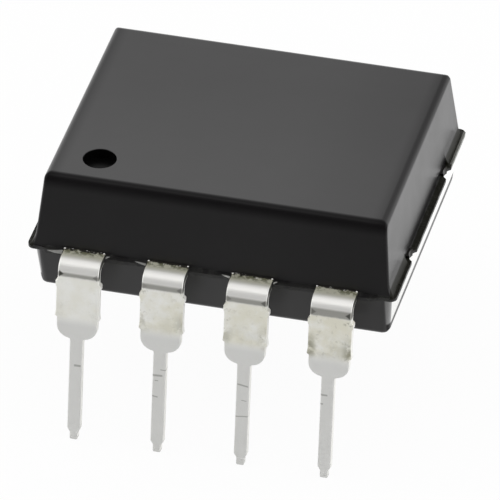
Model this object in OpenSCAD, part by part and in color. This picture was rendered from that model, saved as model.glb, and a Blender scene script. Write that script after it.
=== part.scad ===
// Eight-lead dual in-line integrated circuit in the 400 mil wide body, with unformed, splayed leads.
// Frame: +X along the rows of leads, +Y across them, +Z up; the origin lies under the centre, at the
// height of the lead tips. Lead 1 is at -X, -Y; leads 1 to 4 run along -Y, and 5 to 8 back along +Y.

/* [Moulded body] */
// Length of the body at the parting plane, from end face to end face
body_length = 10.75; // [10.5:0.05:11.2]
// Width of the body at the parting plane
body_width = 9; // [8.8:0.05:9.3]
// Height of the upper half above the parting plane
upper_height = 2.36; // [2.1:0.02:2.6]
// Height of the lower half below the parting plane
lower_height = 1.54; // [1.3:0.02:1.6]
// Draft of the upper half's long sides, in degrees
upper_side_draft = 11; // [8:0.5:14]
// Draft of the upper half's ends, in degrees
upper_end_draft = 5.5; // [4:0.5:9]
// Draft of the lower half's long sides, in degrees
lower_side_draft = 11; // [8:0.5:14]
// Draft of the lower half's ends, in degrees
lower_end_draft = 4.5; // [3:0.5:8]
// How far the lower half stands back from the upper half along the rows of leads
lower_side_step = 0.03; // [0.01:0.01:0.06]
// How far the lower half stands out past the upper half at each end
lower_end_step = 0.03; // [0.01:0.01:0.05]
// Radius of the edge round the top face
top_edge_radius = 0.24; // [0.1:0.02:0.4]
// Radius of the edge round the underside
bottom_edge_radius = 0.22; // [0.1:0.02:0.35]
// Radius of the upper half's upright corners
upper_corner_radius = 0.14; // [0.08:0.02:0.3]
// Radius of the lower half's upright corners
lower_corner_radius = 0.28; // [0.2:0.02:0.4]

/* [Parting ledge] */
// Thickness of the ledge that runs round the body at the parting plane
ledge_thickness = 0.13; // [0.08:0.01:0.2]
// How far the ledge stands out at the two ends
end_ledge = 0.2; // [0.12:0.01:0.26]
// How far the ledge stands out along the rows of leads
side_ledge = 0.15; // [0.05:0.01:0.2]
// Corner radius of the ledge, seen from above
ledge_corner_radius = 0.2; // [0.1:0.02:0.3]
// Radius of the notches where the tie bars were punched off
notch_radius = 0.42; // [0.34:0.01:0.5]
// Depth of the notches into the ledge
notch_depth = 0.16; // [0.1:0.01:0.2]
// Distance of each notch from the body's middle, along Y
notch_y = 2.19; // [2:0.01:2.4]
// Height of the hollow flare from the ledge up into the end face, outside the notches
flare_height = 0.5; // [0.3:0.02:0.7]
// How far the flare's foot stands out over the ledge
flare_reach = 0.15; // [0.1:0.01:0.18]
// Width of the gate scar on the end face at -X
gate_width = 1.3; // [0.8:0.1:2]
// Height of the gate scar
gate_height = 0.3; // [0.16:0.02:0.4]

/* [Index dimple and ejector marks] */
// Diameter of the dimple that marks lead 1
dimple_diameter = 1; // [0.7:0.05:1.3]
// Depth of the dimple
dimple_depth = 0.3; // [0.1:0.02:0.4]
// Distance from the dimple's centre to the long edge of the top face
dimple_inset = 1.12; // [0.8:0.01:1.3]
// How far the dimple's centre lies from lead 1's axis towards the body's middle
dimple_shift = 0.04; // [0:0.01:0.1]
// Diameter of the ejector pin marks in the underside
ejector_diameter = 1.6; // [1:0.1:2.2]
// Depth of the ejector pin marks
ejector_depth = 0.05; // [0.02:0.01:0.1]
// Distance between the two ejector pin marks
ejector_spacing = 6; // [5:0.1:7]

/* [Leads] */
// Pitch of the leads along a row
lead_pitch = 2.54; // [2.4:0.02:2.66]
// Distance between the rows' centre planes, at the height of the parting plane
row_spacing = 10.24; // [10.16:0.02:10.6]
// Outward splay of the unformed leads, in degrees
lead_splay = 7.5; // [0:0.5:10]
// Thickness of the lead frame
frame_thickness = 0.254; // [0.2:0.002:0.3]
// Inner radius of the bend
bend_radius = 0.15; // [0.1:0.01:0.22]
// Width of a lead where it leaves the body and through the bend
neck_width = 1.25; // [1.1:0.01:1.3]
// Length of the neck below the bend
neck_length = 0.24; // [0.15:0.01:0.35]
// Width across the stubs of the cut-off dam bar
stub_width = 1.38; // [1.34:0.01:1.5]
// Length of those stubs along the lead
stub_length = 0.26; // [0.15:0.01:0.35]
// Width of the upper shoulder
shoulder_width = 1.31; // [1.27:0.01:1.33]
// Width across the burrs at the foot of the upper shoulder
burr_width = 1.36; // [1.34:0.01:1.45]
// Length of those burrs along the lead
burr_length = 0.2; // [0.1:0.01:0.3]
// Distance from the seating level up to the burrs
burr_rise = 0.67; // [0.6:0.01:0.9]
// Width of the lower shoulder
seat_width = 1.23; // [1.1:0.01:1.26]
// Corner radius at the foot of the lower shoulder
seat_radius = 0.4; // [0.2:0.01:0.4]
// Depth of the seating level, where the pins begin, below the parting plane
seat_drop = 2.35; // [2.2:0.02:2.6]
// Length of the pins below the seating level
pin_length = 3.35; // [3.1:0.05:3.9]
// Width of the pins
pin_width = 0.4; // [0.38:0.01:0.56]
// Width of the pins' tips
tip_width = 0.24; // [0.18:0.01:0.3]
// Length of the straight tips
tip_length = 0.24; // [0.15:0.01:0.35]
// Length of the taper above each tip
taper_length = 0.13; // [0.05:0.01:0.25]

/* [Lead frame inside the body] */
// Length of the die paddle, along X
paddle_length = 4.6; // [4:0.1:5.2]
// Width of the die paddle, along Y
paddle_width = 4.9; // [4.8:0.02:5.1]
// Depth by which the paddle is set down below the lead fingers
paddle_downset = 0.2; // [0.1:0.01:0.25]
// Width of the tie bars that held the paddle in its strip
tie_bar_width = 0.42; // [0.3:0.02:0.5]
// Length of the sloping part of each tie bar
tie_bar_slope = 0.45; // [0.35:0.05:0.6]
// Diameter of the resin locking holes in the paddle
lock_diameter = 0.5; // [0.3:0.05:0.6]
// Clearance between the paddle and the ends of the lead fingers
finger_gap = 0.28; // [0.2:0.01:0.35]
// Width of a lead finger at its inner end
finger_width = 0.86; // [0.7:0.02:0.9]
// How far the four outer fingers lean towards the middle
finger_lean = 0.62; // [0.4:0.02:0.8]
// Diameter of the resin locking hole in each finger
finger_hole_diameter = 0.46; // [0.3:0.02:0.5]

/* [Die and bond wires] */
// Length of the silicon die, along X
die_length = 2.5; // [2.3:0.05:2.8]
// Width of the silicon die, along Y
die_width = 2; // [1.8:0.05:2.4]
// Thickness of the silicon die
die_thickness = 0.3; // [0.2:0.01:0.35]
// Thickness of the conductive adhesive under the die
attach_thickness = 0.03; // [0.02:0.005:0.05]
// How far the adhesive stands out round the die
attach_fillet = 0.06; // [0.03:0.01:0.1]
// Distance of the inner bond pads from the die's middle, along X
inner_pad_x = 0.45; // [0.3:0.05:0.6]
// Distance of the outer bond pads from the die's middle, along X
outer_pad_x = 1.02; // [0.9:0.02:1.1]
// Distance of the bond pads from the die's long edges
pad_inset = 0.14; // [0.1:0.01:0.2]
// Diameter of the bond wires
wire_diameter = 0.03; // [0.025:0.001:0.038]
// Height of a wire's loop above the die
loop_height = 0.22; // [0.15:0.01:0.3]
// Diameter of the squashed ball at the die end of a wire
ball_diameter = 0.09; // [0.07:0.005:0.11]
// Thickness of the squashed ball
ball_thickness = 0.025; // [0.02:0.001:0.03]
// Distance of the stitch bond from the end of its finger
stitch_inset = 0.3; // [0.2:0.02:0.4]
// Length of the stitch bond
stitch_length = 0.14; // [0.1:0.01:0.2]

/* [Hidden] */
$fn = 48;

resin = [0.13, 0.13, 0.135];
tin_plate = [0.78, 0.78, 0.75];
copper_alloy = [0.8, 0.55, 0.38];
silicon = [0.35, 0.37, 0.42];
silver_epoxy = [0.7, 0.7, 0.68];
gold = [0.85, 0.65, 0.2];

leads_per_row = 4;
half_frame = frame_thickness / 2;

// Height of the parting plane above the lead tips
parting_z = seat_drop + pin_length + half_frame * sin(lead_splay);

// Radius and start of the bend, on the lead's centre line
bend_centre_radius = bend_radius + half_frame;
bend_start_y = row_spacing / 2 - bend_centre_radius * (1 / cos(lead_splay) - tan(lead_splay));
bend_end_y = bend_start_y + bend_centre_radius * cos(lead_splay);
bend_end_z = -bend_centre_radius * (1 - sin(lead_splay));

// Places along the straight part of a lead, measured from the end of the bend
seat_run = (seat_drop + bend_end_z) / cos(lead_splay);
tip_run = seat_run + pin_length / cos(lead_splay);
burr_run = seat_run - burr_rise;

// Outer edge of the ledge at the ends, and the inner ends of the fingers
ledge_end_x = body_length / 2 + end_ledge;
finger_end_y = paddle_width / 2 + finger_gap;

// Heights of the die stack, from the parting plane
paddle_top_z = half_frame - paddle_downset;
attach_top_z = paddle_top_z + attach_thickness;
die_top_z = attach_top_z + die_thickness;

// Bond wires: corners of the tube's section, and steps along the loop
wire_sides = 6;
wire_steps = 9;

// Flats that round one upright corner of the body
corner_flats = 3;

// Straight share of a dam bar stub, sweep of the shoulder's lower corner, and drop from there to the pin
stub_straight = 0.7;
seat_sweep = 82;
pin_step = 0.02;

// Share of a finger before its knee, and shares of its lean at its hole and at its stitch bond
knee_share = 0.35;
hole_lean = 0.2;
stitch_lean = 0.92;

// Reach of a cut past what it cuts
overshoot = 1;

// Place of lead n along X, counted round the body
function lead_x(n) = (n <= leads_per_row ? n - 2.5 : 6.5 - n) * lead_pitch;

// Points of an arc, from one angle to another
function arc(centre, radius, from, to, steps = 8) = [
    for (i = [0 : steps]) let (a = from + (to - from) * i / steps) centre + radius * [cos(a), sin(a)]
];

// A list of outline points, mirrored in the Y axis and joined on in reverse
function both_sides(points) = concat(
    points, [for (i = [len(points) - 1 : -1 : 0]) [-points[i][0], points[i][1]]]
);

// Outline of one moulded half: base width at z = 0, sides drafted inwards, rounded edge at the far face
function half_profile(base, height, draft, radius) =
    let (
        half_top = base / 2 - height * tan(draft),
        centre = [half_top - radius * tan(45 - draft / 2), height - radius]
    )
    both_sides(concat([[base / 2, 0]], arc(centre, radius, draft, 90)));

// Extrudes an outline in the XZ plane along Y, centred
module along_y(length) {
    rotate([90, 0, 0]) linear_extrude(length, center = true) children();
}

// Extrudes an outline in the YZ plane along X, centred
module along_x(length) {
    rotate([90, 0, 90]) linear_extrude(length, center = true) children();
}

// Rounds the drafted upright corner at +X, +Y of a half, by flats that touch the corner's radius
module corner_cut(length, width, height, end_draft, side_draft, corner_radius) {
    translate([length / 2, width / 2, 0])
        rotate([side_draft, -end_draft, 0])
            translate([-corner_radius, -corner_radius, -overshoot])
                for (k = [0.5 : corner_flats])
                    rotate([0, 0, 90 * k / corner_flats])
                        translate([corner_radius, -overshoot, 0])
                            cube([overshoot, 2 * overshoot, height + 3 * overshoot]);
}

// One moulded half, standing on the parting plane with its far face up
module moulded_half(length, width, height, end_draft, side_draft, edge_radius, corner_radius) {
    difference() {
        intersection() {
            along_y(2 * width) polygon(half_profile(length, height, end_draft, edge_radius));
            along_x(2 * length) polygon(half_profile(width, height, side_draft, edge_radius));
        }
        for (side = [0, 1], end = [0, 1])
            mirror([end, 0, 0]) mirror([0, side, 0])
                corner_cut(length, width, height, end_draft, side_draft, corner_radius);
    }
}

// Punch that cut the ledge and the tie bar at +X, +Y, seen from above
module punch_outline() {
    translate([ledge_end_x - notch_depth + notch_radius, notch_y]) circle(notch_radius);
}

// Outline of the parting ledge from above, with the four punched notches
module ledge_outline() {
    half_y = body_width / 2 + side_ledge;
    corner = [ledge_end_x - ledge_corner_radius, half_y - ledge_corner_radius];
    half = both_sides(arc(corner, ledge_corner_radius, 0, 90, 4));
    difference() {
        polygon(concat(half, [for (p = half) -p]));
        for (end = [0, 1], side = [0, 1]) mirror([end, 0]) mirror([0, side]) punch_outline();
    }
}

// Hollow flare from the end face at +X down to the ledge, between two places along Y.
// Its arc leaves the end face smoothly and meets the ledge short of the edge.
module end_flare(from_y, to_y) {
    face = [cos(upper_end_draft), sin(upper_end_draft)];
    top = [body_length / 2 - flare_height * tan(upper_end_draft), flare_height];
    foot = [body_length / 2 + flare_reach, 0];
    radius = (foot - top) * (foot - top) / (2 * (foot - top) * face);
    centre = top + radius * face;
    foot_angle = 360 + atan2(foot[1] - centre[1], foot[0] - centre[0]);
    translate([0, (from_y + to_y) / 2, 0])
        along_y(to_y - from_y)
            polygon(concat(
                [[top[0] - end_ledge, 0], [top[0] - end_ledge, flare_height]],
                arc(centre, radius, 180 + upper_end_draft, foot_angle)
            ));
}

// The resin body before the lead frame is taken out of it; the parting plane is at z = 0
module body_blank() {
    moulded_half(body_length, body_width, upper_height, upper_end_draft, upper_side_draft,
                 top_edge_radius, upper_corner_radius);
    mirror([0, 0, 1])
        moulded_half(body_length + 2 * lower_end_step, body_width - 2 * lower_side_step, lower_height,
                     lower_end_draft, lower_side_draft, bottom_edge_radius, lower_corner_radius);
    translate([0, 0, -ledge_thickness / 2]) linear_extrude(ledge_thickness) ledge_outline();
    for (end = [0, 1], side = [0, 1])
        mirror([end, 0, 0]) mirror([0, side, 0])
            end_flare(notch_y + notch_radius, body_width / 2 - ledge_corner_radius);
    translate([-ledge_end_x, -gate_width / 2, -gate_height / 2])
        cube([2 * end_ledge, gate_width, gate_height]);
}

// Flat outline of a lead below its bend; X across the lead, -Y down it from the end of the bend
module lead_outline() {
    right = concat(
        [
            [neck_width / 2, 0], [neck_width / 2, -neck_length],
            [stub_width / 2, -neck_length], [stub_width / 2, -neck_length - stub_length * stub_straight],
            [shoulder_width / 2, -neck_length - stub_length],
            [shoulder_width / 2, -burr_run + burr_length], [burr_width / 2, -burr_run],
            [seat_width / 2, -burr_run]
        ],
        arc([seat_width / 2 - seat_radius, -seat_run + seat_radius], seat_radius, 0, -seat_sweep),
        [
            [pin_width / 2, -seat_run - pin_step],
            [pin_width / 2, -tip_run + tip_length + taper_length],
            [tip_width / 2, -tip_run + tip_length], [tip_width / 2, -tip_run]
        ]
    );
    polygon(both_sides(right));
}

// Flat outline of a lead finger inside the body, from the start of the bend to its inner end.
// X is across the lead and Y towards the middle of the body, both from the start of the bend.
module finger_outline(lean) {
    exit_y = bend_start_y - body_width / 2;
    end_y = bend_start_y - finger_end_y;
    knee_y = exit_y + (end_y - exit_y) * knee_share;
    difference() {
        polygon([
            [-neck_width / 2, 0], [neck_width / 2, 0], [neck_width / 2, knee_y],
            [lean + finger_width / 2, end_y], [lean - finger_width / 2, end_y],
            [-neck_width / 2, knee_y]
        ]);
        translate([hole_lean * lean, knee_y]) circle(d = finger_hole_diameter);
    }
}

// One lead of the row at -Y, at a place along X; the parting plane is at z = 0
module row_lead(x) {
    lean = abs(x) > lead_pitch ? -sign(x) * finger_lean : 0;
    translate([x, -bend_start_y, 0]) {
        translate([0, 0, -half_frame]) linear_extrude(frame_thickness) finger_outline(lean);
        translate([0, 0, -bend_centre_radius])
            rotate([0, 90, 0]) rotate([0, 0, 180])
                rotate_extrude(angle = 90 - lead_splay)
                    translate([bend_radius, -neck_width / 2]) square([frame_thickness, neck_width]);
    }
    translate([x, -bend_end_y, bend_end_z])
        rotate([90 - lead_splay, 0, 0])
            linear_extrude(frame_thickness, center = true) lead_outline();
}

// Puts a piece of the row at -Y, drawn for a place along X, where lead n needs it
module at_lead(n) {
    rotate([0, 0, n <= leads_per_row ? 0 : 180]) translate([0, 0, parting_z]) children();
}

// Place of lead n along X, as the row at -Y sees it
function row_x(n) = n <= leads_per_row ? lead_x(n) : -lead_x(n);

module lead(n) {
    color(tin_plate) at_lead(n) row_lead(row_x(n));
}

// One of the four tie bars, at +X, +Y: it slopes up from the paddle to the parting plane, runs out
// level to the end of the body, and is cut there by the punch
module tie_bar() {
    foot_x = paddle_length / 2;
    slope_x = foot_x + tie_bar_slope;
    level_x = slope_x + tie_bar_slope;
    difference() {
        translate([0, notch_y, 0]) along_y(tie_bar_width)
            polygon([
                [foot_x, -paddle_downset - half_frame], [slope_x, -paddle_downset - half_frame],
                [level_x, -half_frame], [ledge_end_x, -half_frame], [ledge_end_x, half_frame],
                [level_x, half_frame], [slope_x, half_frame - paddle_downset],
                [foot_x, half_frame - paddle_downset]
            ]);
        translate([0, 0, -overshoot / 2]) linear_extrude(overshoot) punch_outline();
    }
}

module die_paddle() {
    color(copper_alloy) translate([0, 0, parting_z]) {
        translate([0, 0, -paddle_downset - half_frame]) linear_extrude(frame_thickness)
            difference() {
                square([paddle_length, paddle_width], center = true);
                for (x = [-1, 1], y = [-1, 1])
                    translate([x * (die_length / 2 + paddle_length / 2) / 2, y * notch_y * 0.75])
                        circle(d = lock_diameter);
            }
        for (end = [0, 1], side = [0, 1])
            mirror([end, 0, 0]) mirror([0, side, 0]) tie_bar();
    }
}

module die_attach() {
    color(silver_epoxy) translate([0, 0, parting_z + paddle_top_z])
        linear_extrude(attach_thickness)
            square([die_length + 2 * attach_fillet, die_width + 2 * attach_fillet], center = true);
}

module silicon_die() {
    color(silicon) translate([0, 0, parting_z + attach_top_z])
        linear_extrude(die_thickness) square([die_length, die_width], center = true);
}

// Tube round a path that lies in one upright plane; side is the level direction across that plane
module wire_tube(path, side) {
    last = len(path) - 1;
    rings = [
        for (i = [0 : last])
            let (
                along = path[min(i + 1, last)] - path[max(i - 1, 0)],
                up = cross(side, along) / norm(along)
            )
            for (k = [0 : wire_sides - 1])
                let (a = 360 * k / wire_sides)
                path[i] + wire_diameter / 2 * (cos(a) * up + sin(a) * side)
    ];
    walls = [
        for (i = [0 : last - 1], k = [0 : wire_sides - 1])
            let (a = i * wire_sides + k, b = i * wire_sides + (k + 1) % wire_sides)
            each [[a, b, b + wire_sides], [a, b + wire_sides, a + wire_sides]]
    ];
    caps = [
        [for (k = [wire_sides - 1 : -1 : 0]) k],
        [for (k = [0 : wire_sides - 1]) last * wire_sides + k]
    ];
    polyhedron(points = rings, faces = concat(caps, walls));
}

// Bond wire from the die to the finger of the row lead at x; the parting plane is at z = 0
module row_wire(x) {
    outer = abs(x) > lead_pitch;
    pad = [sign(x) * (outer ? outer_pad_x : inner_pad_x), -die_width / 2 + pad_inset];
    tip_x = x - (outer ? sign(x) * finger_lean * stitch_lean : 0);
    stitch = [tip_x, -finger_end_y - stitch_inset];
    heading = (stitch - pad) / norm(stitch - pad);
    side = [-heading[1], heading[0], 0];
    low = die_top_z + ball_thickness / 2;
    foot = half_frame + wire_diameter / 2;
    path = [
        for (i = [0 : wire_steps])
            let (
                u = i / wire_steps,
                run = pow(u, 1.5) * norm(stitch - pad),
                fall = low + (foot - low) * u,
                rise = (loop_height + wire_diameter) * pow(sin(180 * sqrt(u)), 0.8)
            )
            concat(pad + run * heading, fall + rise)
    ];
    translate([pad[0], pad[1], die_top_z]) cylinder(d = ball_diameter, h = ball_thickness, $fn = 8);
    wire_tube(path, side);
    translate([stitch[0], stitch[1], half_frame])
        rotate([0, 0, atan2(heading[1], heading[0])])
            translate([-stitch_length / 4, -wire_diameter, 0])
                cube([stitch_length, 2 * wire_diameter, wire_diameter]);
}

module bond_wire(n) {
    color(gold) at_lead(n) row_wire(row_x(n));
}

module body() {
    top_half_width = body_width / 2 - upper_height * tan(upper_side_draft);
    color(resin) difference() {
        translate([0, 0, parting_z]) body_blank();
        translate([lead_x(1) + dimple_shift, dimple_inset - top_half_width,
                   parting_z + upper_height - dimple_depth])
            cylinder(d = dimple_diameter, h = dimple_depth + overshoot);
        for (x = [-1, 1])
            translate([x * ejector_spacing / 2, 0, parting_z - lower_height - overshoot])
                cylinder(d = ejector_diameter, h = ejector_depth + overshoot);
        for (n = [1 : 2 * leads_per_row]) {
            lead(n);
            bond_wire(n);
        }
        die_paddle();
        die_attach();
        silicon_die();
    }
}

body();
die_paddle();
die_attach();
silicon_die();
for (n = [1 : 2 * leads_per_row]) {
    lead(n);
    bond_wire(n);
}
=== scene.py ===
"""Looks of an eight-lead dual in-line integrated circuit in the wide body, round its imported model.

Pieces are modelled in millimetres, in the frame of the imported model, and shrunk to metres when they are
finished. Leads 1 to 4 stand along -Y and leads 5 to 8 along +Y. Heights are given from the parting plane,
where the two halves of the mould met, unless a line says otherwise.
"""

from __future__ import annotations

import logging
import math
from dataclasses import dataclass
from enum import Enum
from functools import reduce
from typing import Callable, Iterable, NamedTuple, Sequence

import bmesh
import bpy
from mathutils import Matrix, Vector

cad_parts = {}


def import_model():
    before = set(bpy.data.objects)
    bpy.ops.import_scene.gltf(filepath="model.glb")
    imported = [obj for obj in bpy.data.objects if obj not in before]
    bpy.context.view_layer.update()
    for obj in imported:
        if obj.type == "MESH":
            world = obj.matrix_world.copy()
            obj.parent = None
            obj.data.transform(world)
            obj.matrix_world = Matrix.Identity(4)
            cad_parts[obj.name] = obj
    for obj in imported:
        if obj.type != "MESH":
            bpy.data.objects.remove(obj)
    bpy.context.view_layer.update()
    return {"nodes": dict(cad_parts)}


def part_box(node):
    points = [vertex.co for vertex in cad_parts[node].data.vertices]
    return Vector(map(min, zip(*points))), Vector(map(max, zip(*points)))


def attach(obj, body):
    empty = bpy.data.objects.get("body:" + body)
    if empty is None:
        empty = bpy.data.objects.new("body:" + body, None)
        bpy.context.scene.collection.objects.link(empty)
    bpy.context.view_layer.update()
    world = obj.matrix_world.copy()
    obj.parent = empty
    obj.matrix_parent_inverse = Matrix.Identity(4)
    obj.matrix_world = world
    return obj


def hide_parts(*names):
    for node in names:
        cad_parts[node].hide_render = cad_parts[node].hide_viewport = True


LOG = logging.getLogger("integrated_circuit")
MM = 0.001
LEADS_PER_ROW = 4
LEAD_COUNT = 2 * LEADS_PER_ROW

# What is picked in edit mode lies this near to a place, in millimetres, or points this much along an axis.
NEAR = 0.01
VERY_NEAR = 0.001
FACING = 0.9

# Points closer than this, in millimetres, are one point.
MERGE_DISTANCE = 1e-5

# Long enough to go through the ledge or a lead's finger, in millimetres.
PUNCH_LENGTH = 1

X_AXIS = (1, 0, 0)
Y_AXIS = (0, 1, 0)
Z_AXIS = (0, 0, 1)
BOTH_SIDES = (-1, 1)
SMOOTH_ANGLE = math.radians(32)

# How far inside the body's ends the tie bars are painted dark as shade, in millimetres.
TIE_BAR_SHADE_DEPTH = 0.06

Socket = bpy.types.NodeSocket
Colour = tuple[float, float, float]
Span = tuple[float, float]


class Part(Enum):
    """What is selected in edit mode."""

    VERTS = "VERT"
    EDGES = "EDGE"
    FACES = "FACE"


class Join(Enum):
    """What a tool piece does to the piece that it meets."""

    ADD = "UNION"
    CUT = "DIFFERENCE"


class Slot(Enum):
    """Material slots of the record."""

    RESIN = "resin"
    TIN = "tin_plate"


def take(piece: bpy.types.Object) -> None:
    """Leaves only this piece selected and active, in object mode.

    Args:
        piece: The piece to work on.
    """
    if bpy.context.object is not None and bpy.context.object.mode != "OBJECT":
        bpy.ops.object.mode_set(mode="OBJECT")
    bpy.ops.object.select_all(action="DESELECT")
    piece.select_set(True)
    bpy.context.view_layer.objects.active = piece


def edit(piece: bpy.types.Object) -> None:
    """Takes a piece and opens it in edit mode."""
    take(piece)
    bpy.ops.object.mode_set(mode="EDIT")


def close_edit() -> None:
    """Goes back to object mode."""
    bpy.ops.object.mode_set(mode="OBJECT")


def pick(piece: bpy.types.Object, part: Part, test: Callable[[Vector, Vector], bool]) -> None:
    """Selects what passes a test, in edit mode.

    Args:
        piece: The piece that is open in edit mode.
        part: Whether vertices, edges or faces are tested.
        test: Told the middle, and the normal of a vertex or face or the direction of an edge.
    """
    bpy.ops.mesh.select_mode(type=part.value)
    bpy.ops.mesh.select_all(action="DESELECT")
    shape = bmesh.from_edit_mesh(piece.data)
    if part is Part.VERTS:
        found = [v for v in shape.verts if test(v.co, v.normal)]
    elif part is Part.EDGES:
        found = [e for e in shape.edges if test(middle_of(e), direction_of(e))]
    else:
        found = [f for f in shape.faces if test(f.calc_center_median(), f.normal)]
    for item in found:
        item.select_set(True)
    shape.select_flush_mode()
    bmesh.update_edit_mesh(piece.data)


def middle_of(edge: bmesh.types.BMEdge) -> Vector:
    """Gives the middle of an edge."""
    return (edge.verts[0].co + edge.verts[1].co) / 2


def direction_of(edge: bmesh.types.BMEdge) -> Vector:
    """Gives the direction of an edge, one unit long."""
    return (edge.verts[1].co - edge.verts[0].co).normalized()


def bisect_at(place: Sequence[float], normal: Sequence[float]) -> None:
    """Cuts the selected faces along the plane through a place, in edit mode, and keeps both sides."""
    bpy.ops.mesh.bisect(plane_co=place, plane_no=normal, threshold=MERGE_DISTANCE)


def bisect_all(place: Sequence[float], normal: Sequence[float]) -> None:
    """Cuts all faces along the plane through a place, in edit mode, and keeps both sides."""
    bpy.ops.mesh.select_all(action="SELECT")
    bisect_at(place, normal)


def settle() -> None:
    """Puts the place, turn and scale of the selected piece into its mesh."""
    bpy.ops.object.transform_apply(location=True, rotation=True, scale=True)


def shape_with(piece: bpy.types.Object, modifier: str, **settings: object) -> None:
    """Puts a modifier on a piece and applies it.

    Args:
        piece: The piece.
        modifier: The modifier's type.
        **settings: Values for the modifier's properties.
    """
    take(piece)
    step = piece.modifiers.new(modifier.lower(), modifier)
    for key, value in settings.items():
        setattr(step, key, value)
    bpy.ops.object.modifier_apply(modifier=step.name)


def combine(piece: bpy.types.Object, tool: bpy.types.Object, join: Join) -> None:
    """Adds a tool piece to a piece, or cuts the piece with it, and removes the tool."""
    shape_with(piece, "BOOLEAN", operation=join.value, solver="EXACT", object=tool)
    bpy.data.objects.remove(tool)


def box_piece(low: Sequence[float], high: Sequence[float]) -> bpy.types.Object:
    """Adds a box between two corners.

    Args:
        low: Its lowest corner.
        high: Its highest corner.

    Returns:
        The box, with its place in its mesh.
    """
    centre = [(a + b) / 2 for a, b in zip(low, high)]
    bpy.ops.object.select_all(action="DESELECT")
    bpy.ops.mesh.primitive_cube_add(size=1, location=centre)
    piece = bpy.context.object
    piece.scale = [b - a for a, b in zip(low, high)]
    settle()
    return piece


def rod_piece(centre: Sequence[float], radius: float, length: float, sides: int) -> bpy.types.Object:
    """Adds an upright rod, which is used for round cuts.

    Args:
        centre: Its middle.
        radius: Its radius.
        length: Its length along Z.
        sides: Corners of its outline.

    Returns:
        The rod, with its place in its mesh.
    """
    bpy.ops.object.select_all(action="DESELECT")
    bpy.ops.mesh.primitive_cylinder_add(vertices=sides, radius=radius, depth=length, location=centre)
    settle()
    return bpy.context.object


def copy_piece(piece: bpy.types.Object) -> bpy.types.Object:
    """Copies a piece.

    Args:
        piece: The piece.

    Returns:
        The copy, with a mesh of its own.
    """
    twin = piece.copy()
    twin.data = piece.data.copy()
    bpy.context.scene.collection.objects.link(twin)
    return twin


def place_piece(piece: bpy.types.Object, place: Sequence[float], turn: float = 0) -> None:
    """Moves and turns a piece, with its place kept in its mesh.

    Args:
        piece: The piece.
        place: How far it moves.
        turn: Its turn about Z.
    """
    take(piece)
    piece.location = place
    piece.rotation_euler = (0, 0, turn)
    settle()


def finish_piece(
    piece: bpy.types.Object,
    name: str,
    material: bpy.types.Material,
    stands_for: Iterable[str] = (),
) -> bpy.types.Object:
    """Shades a piece, shrinks it to metres and fixes it to the part.

    Args:
        piece: The piece, in millimetres.
        name: Its name.
        material: Its finish.
        stands_for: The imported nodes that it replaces.

    Returns:
        The piece.
    """
    take(piece)
    bpy.ops.object.shade_smooth_by_angle(angle=SMOOTH_ANGLE)
    shape_with(piece, "WEIGHTED_NORMAL", keep_sharp=True)
    piece.scale = (MM, MM, MM)
    settle()
    piece.name = name
    piece.data.name = name
    piece.data.materials.clear()
    piece.data.materials.append(material)
    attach(piece, "root")
    if stands_for:
        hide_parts(*stands_for)
    LOG.info("%s: %d faces", name, len(piece.data.polygons))
    return piece


def moved(base: float, span: Span) -> Span:
    """Moves a span by a base value."""
    return base + span[0], base + span[1]


class Axes(NamedTuple):
    """The three parts of a place or direction."""

    x: Socket
    y: Socket
    z: Socket


@dataclass(frozen=True)
class Grain:
    """A noise: how fine it is, its octaves and how strong the finer ones are."""

    scale: object
    detail: float = 2
    rough: float = 0.5


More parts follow.
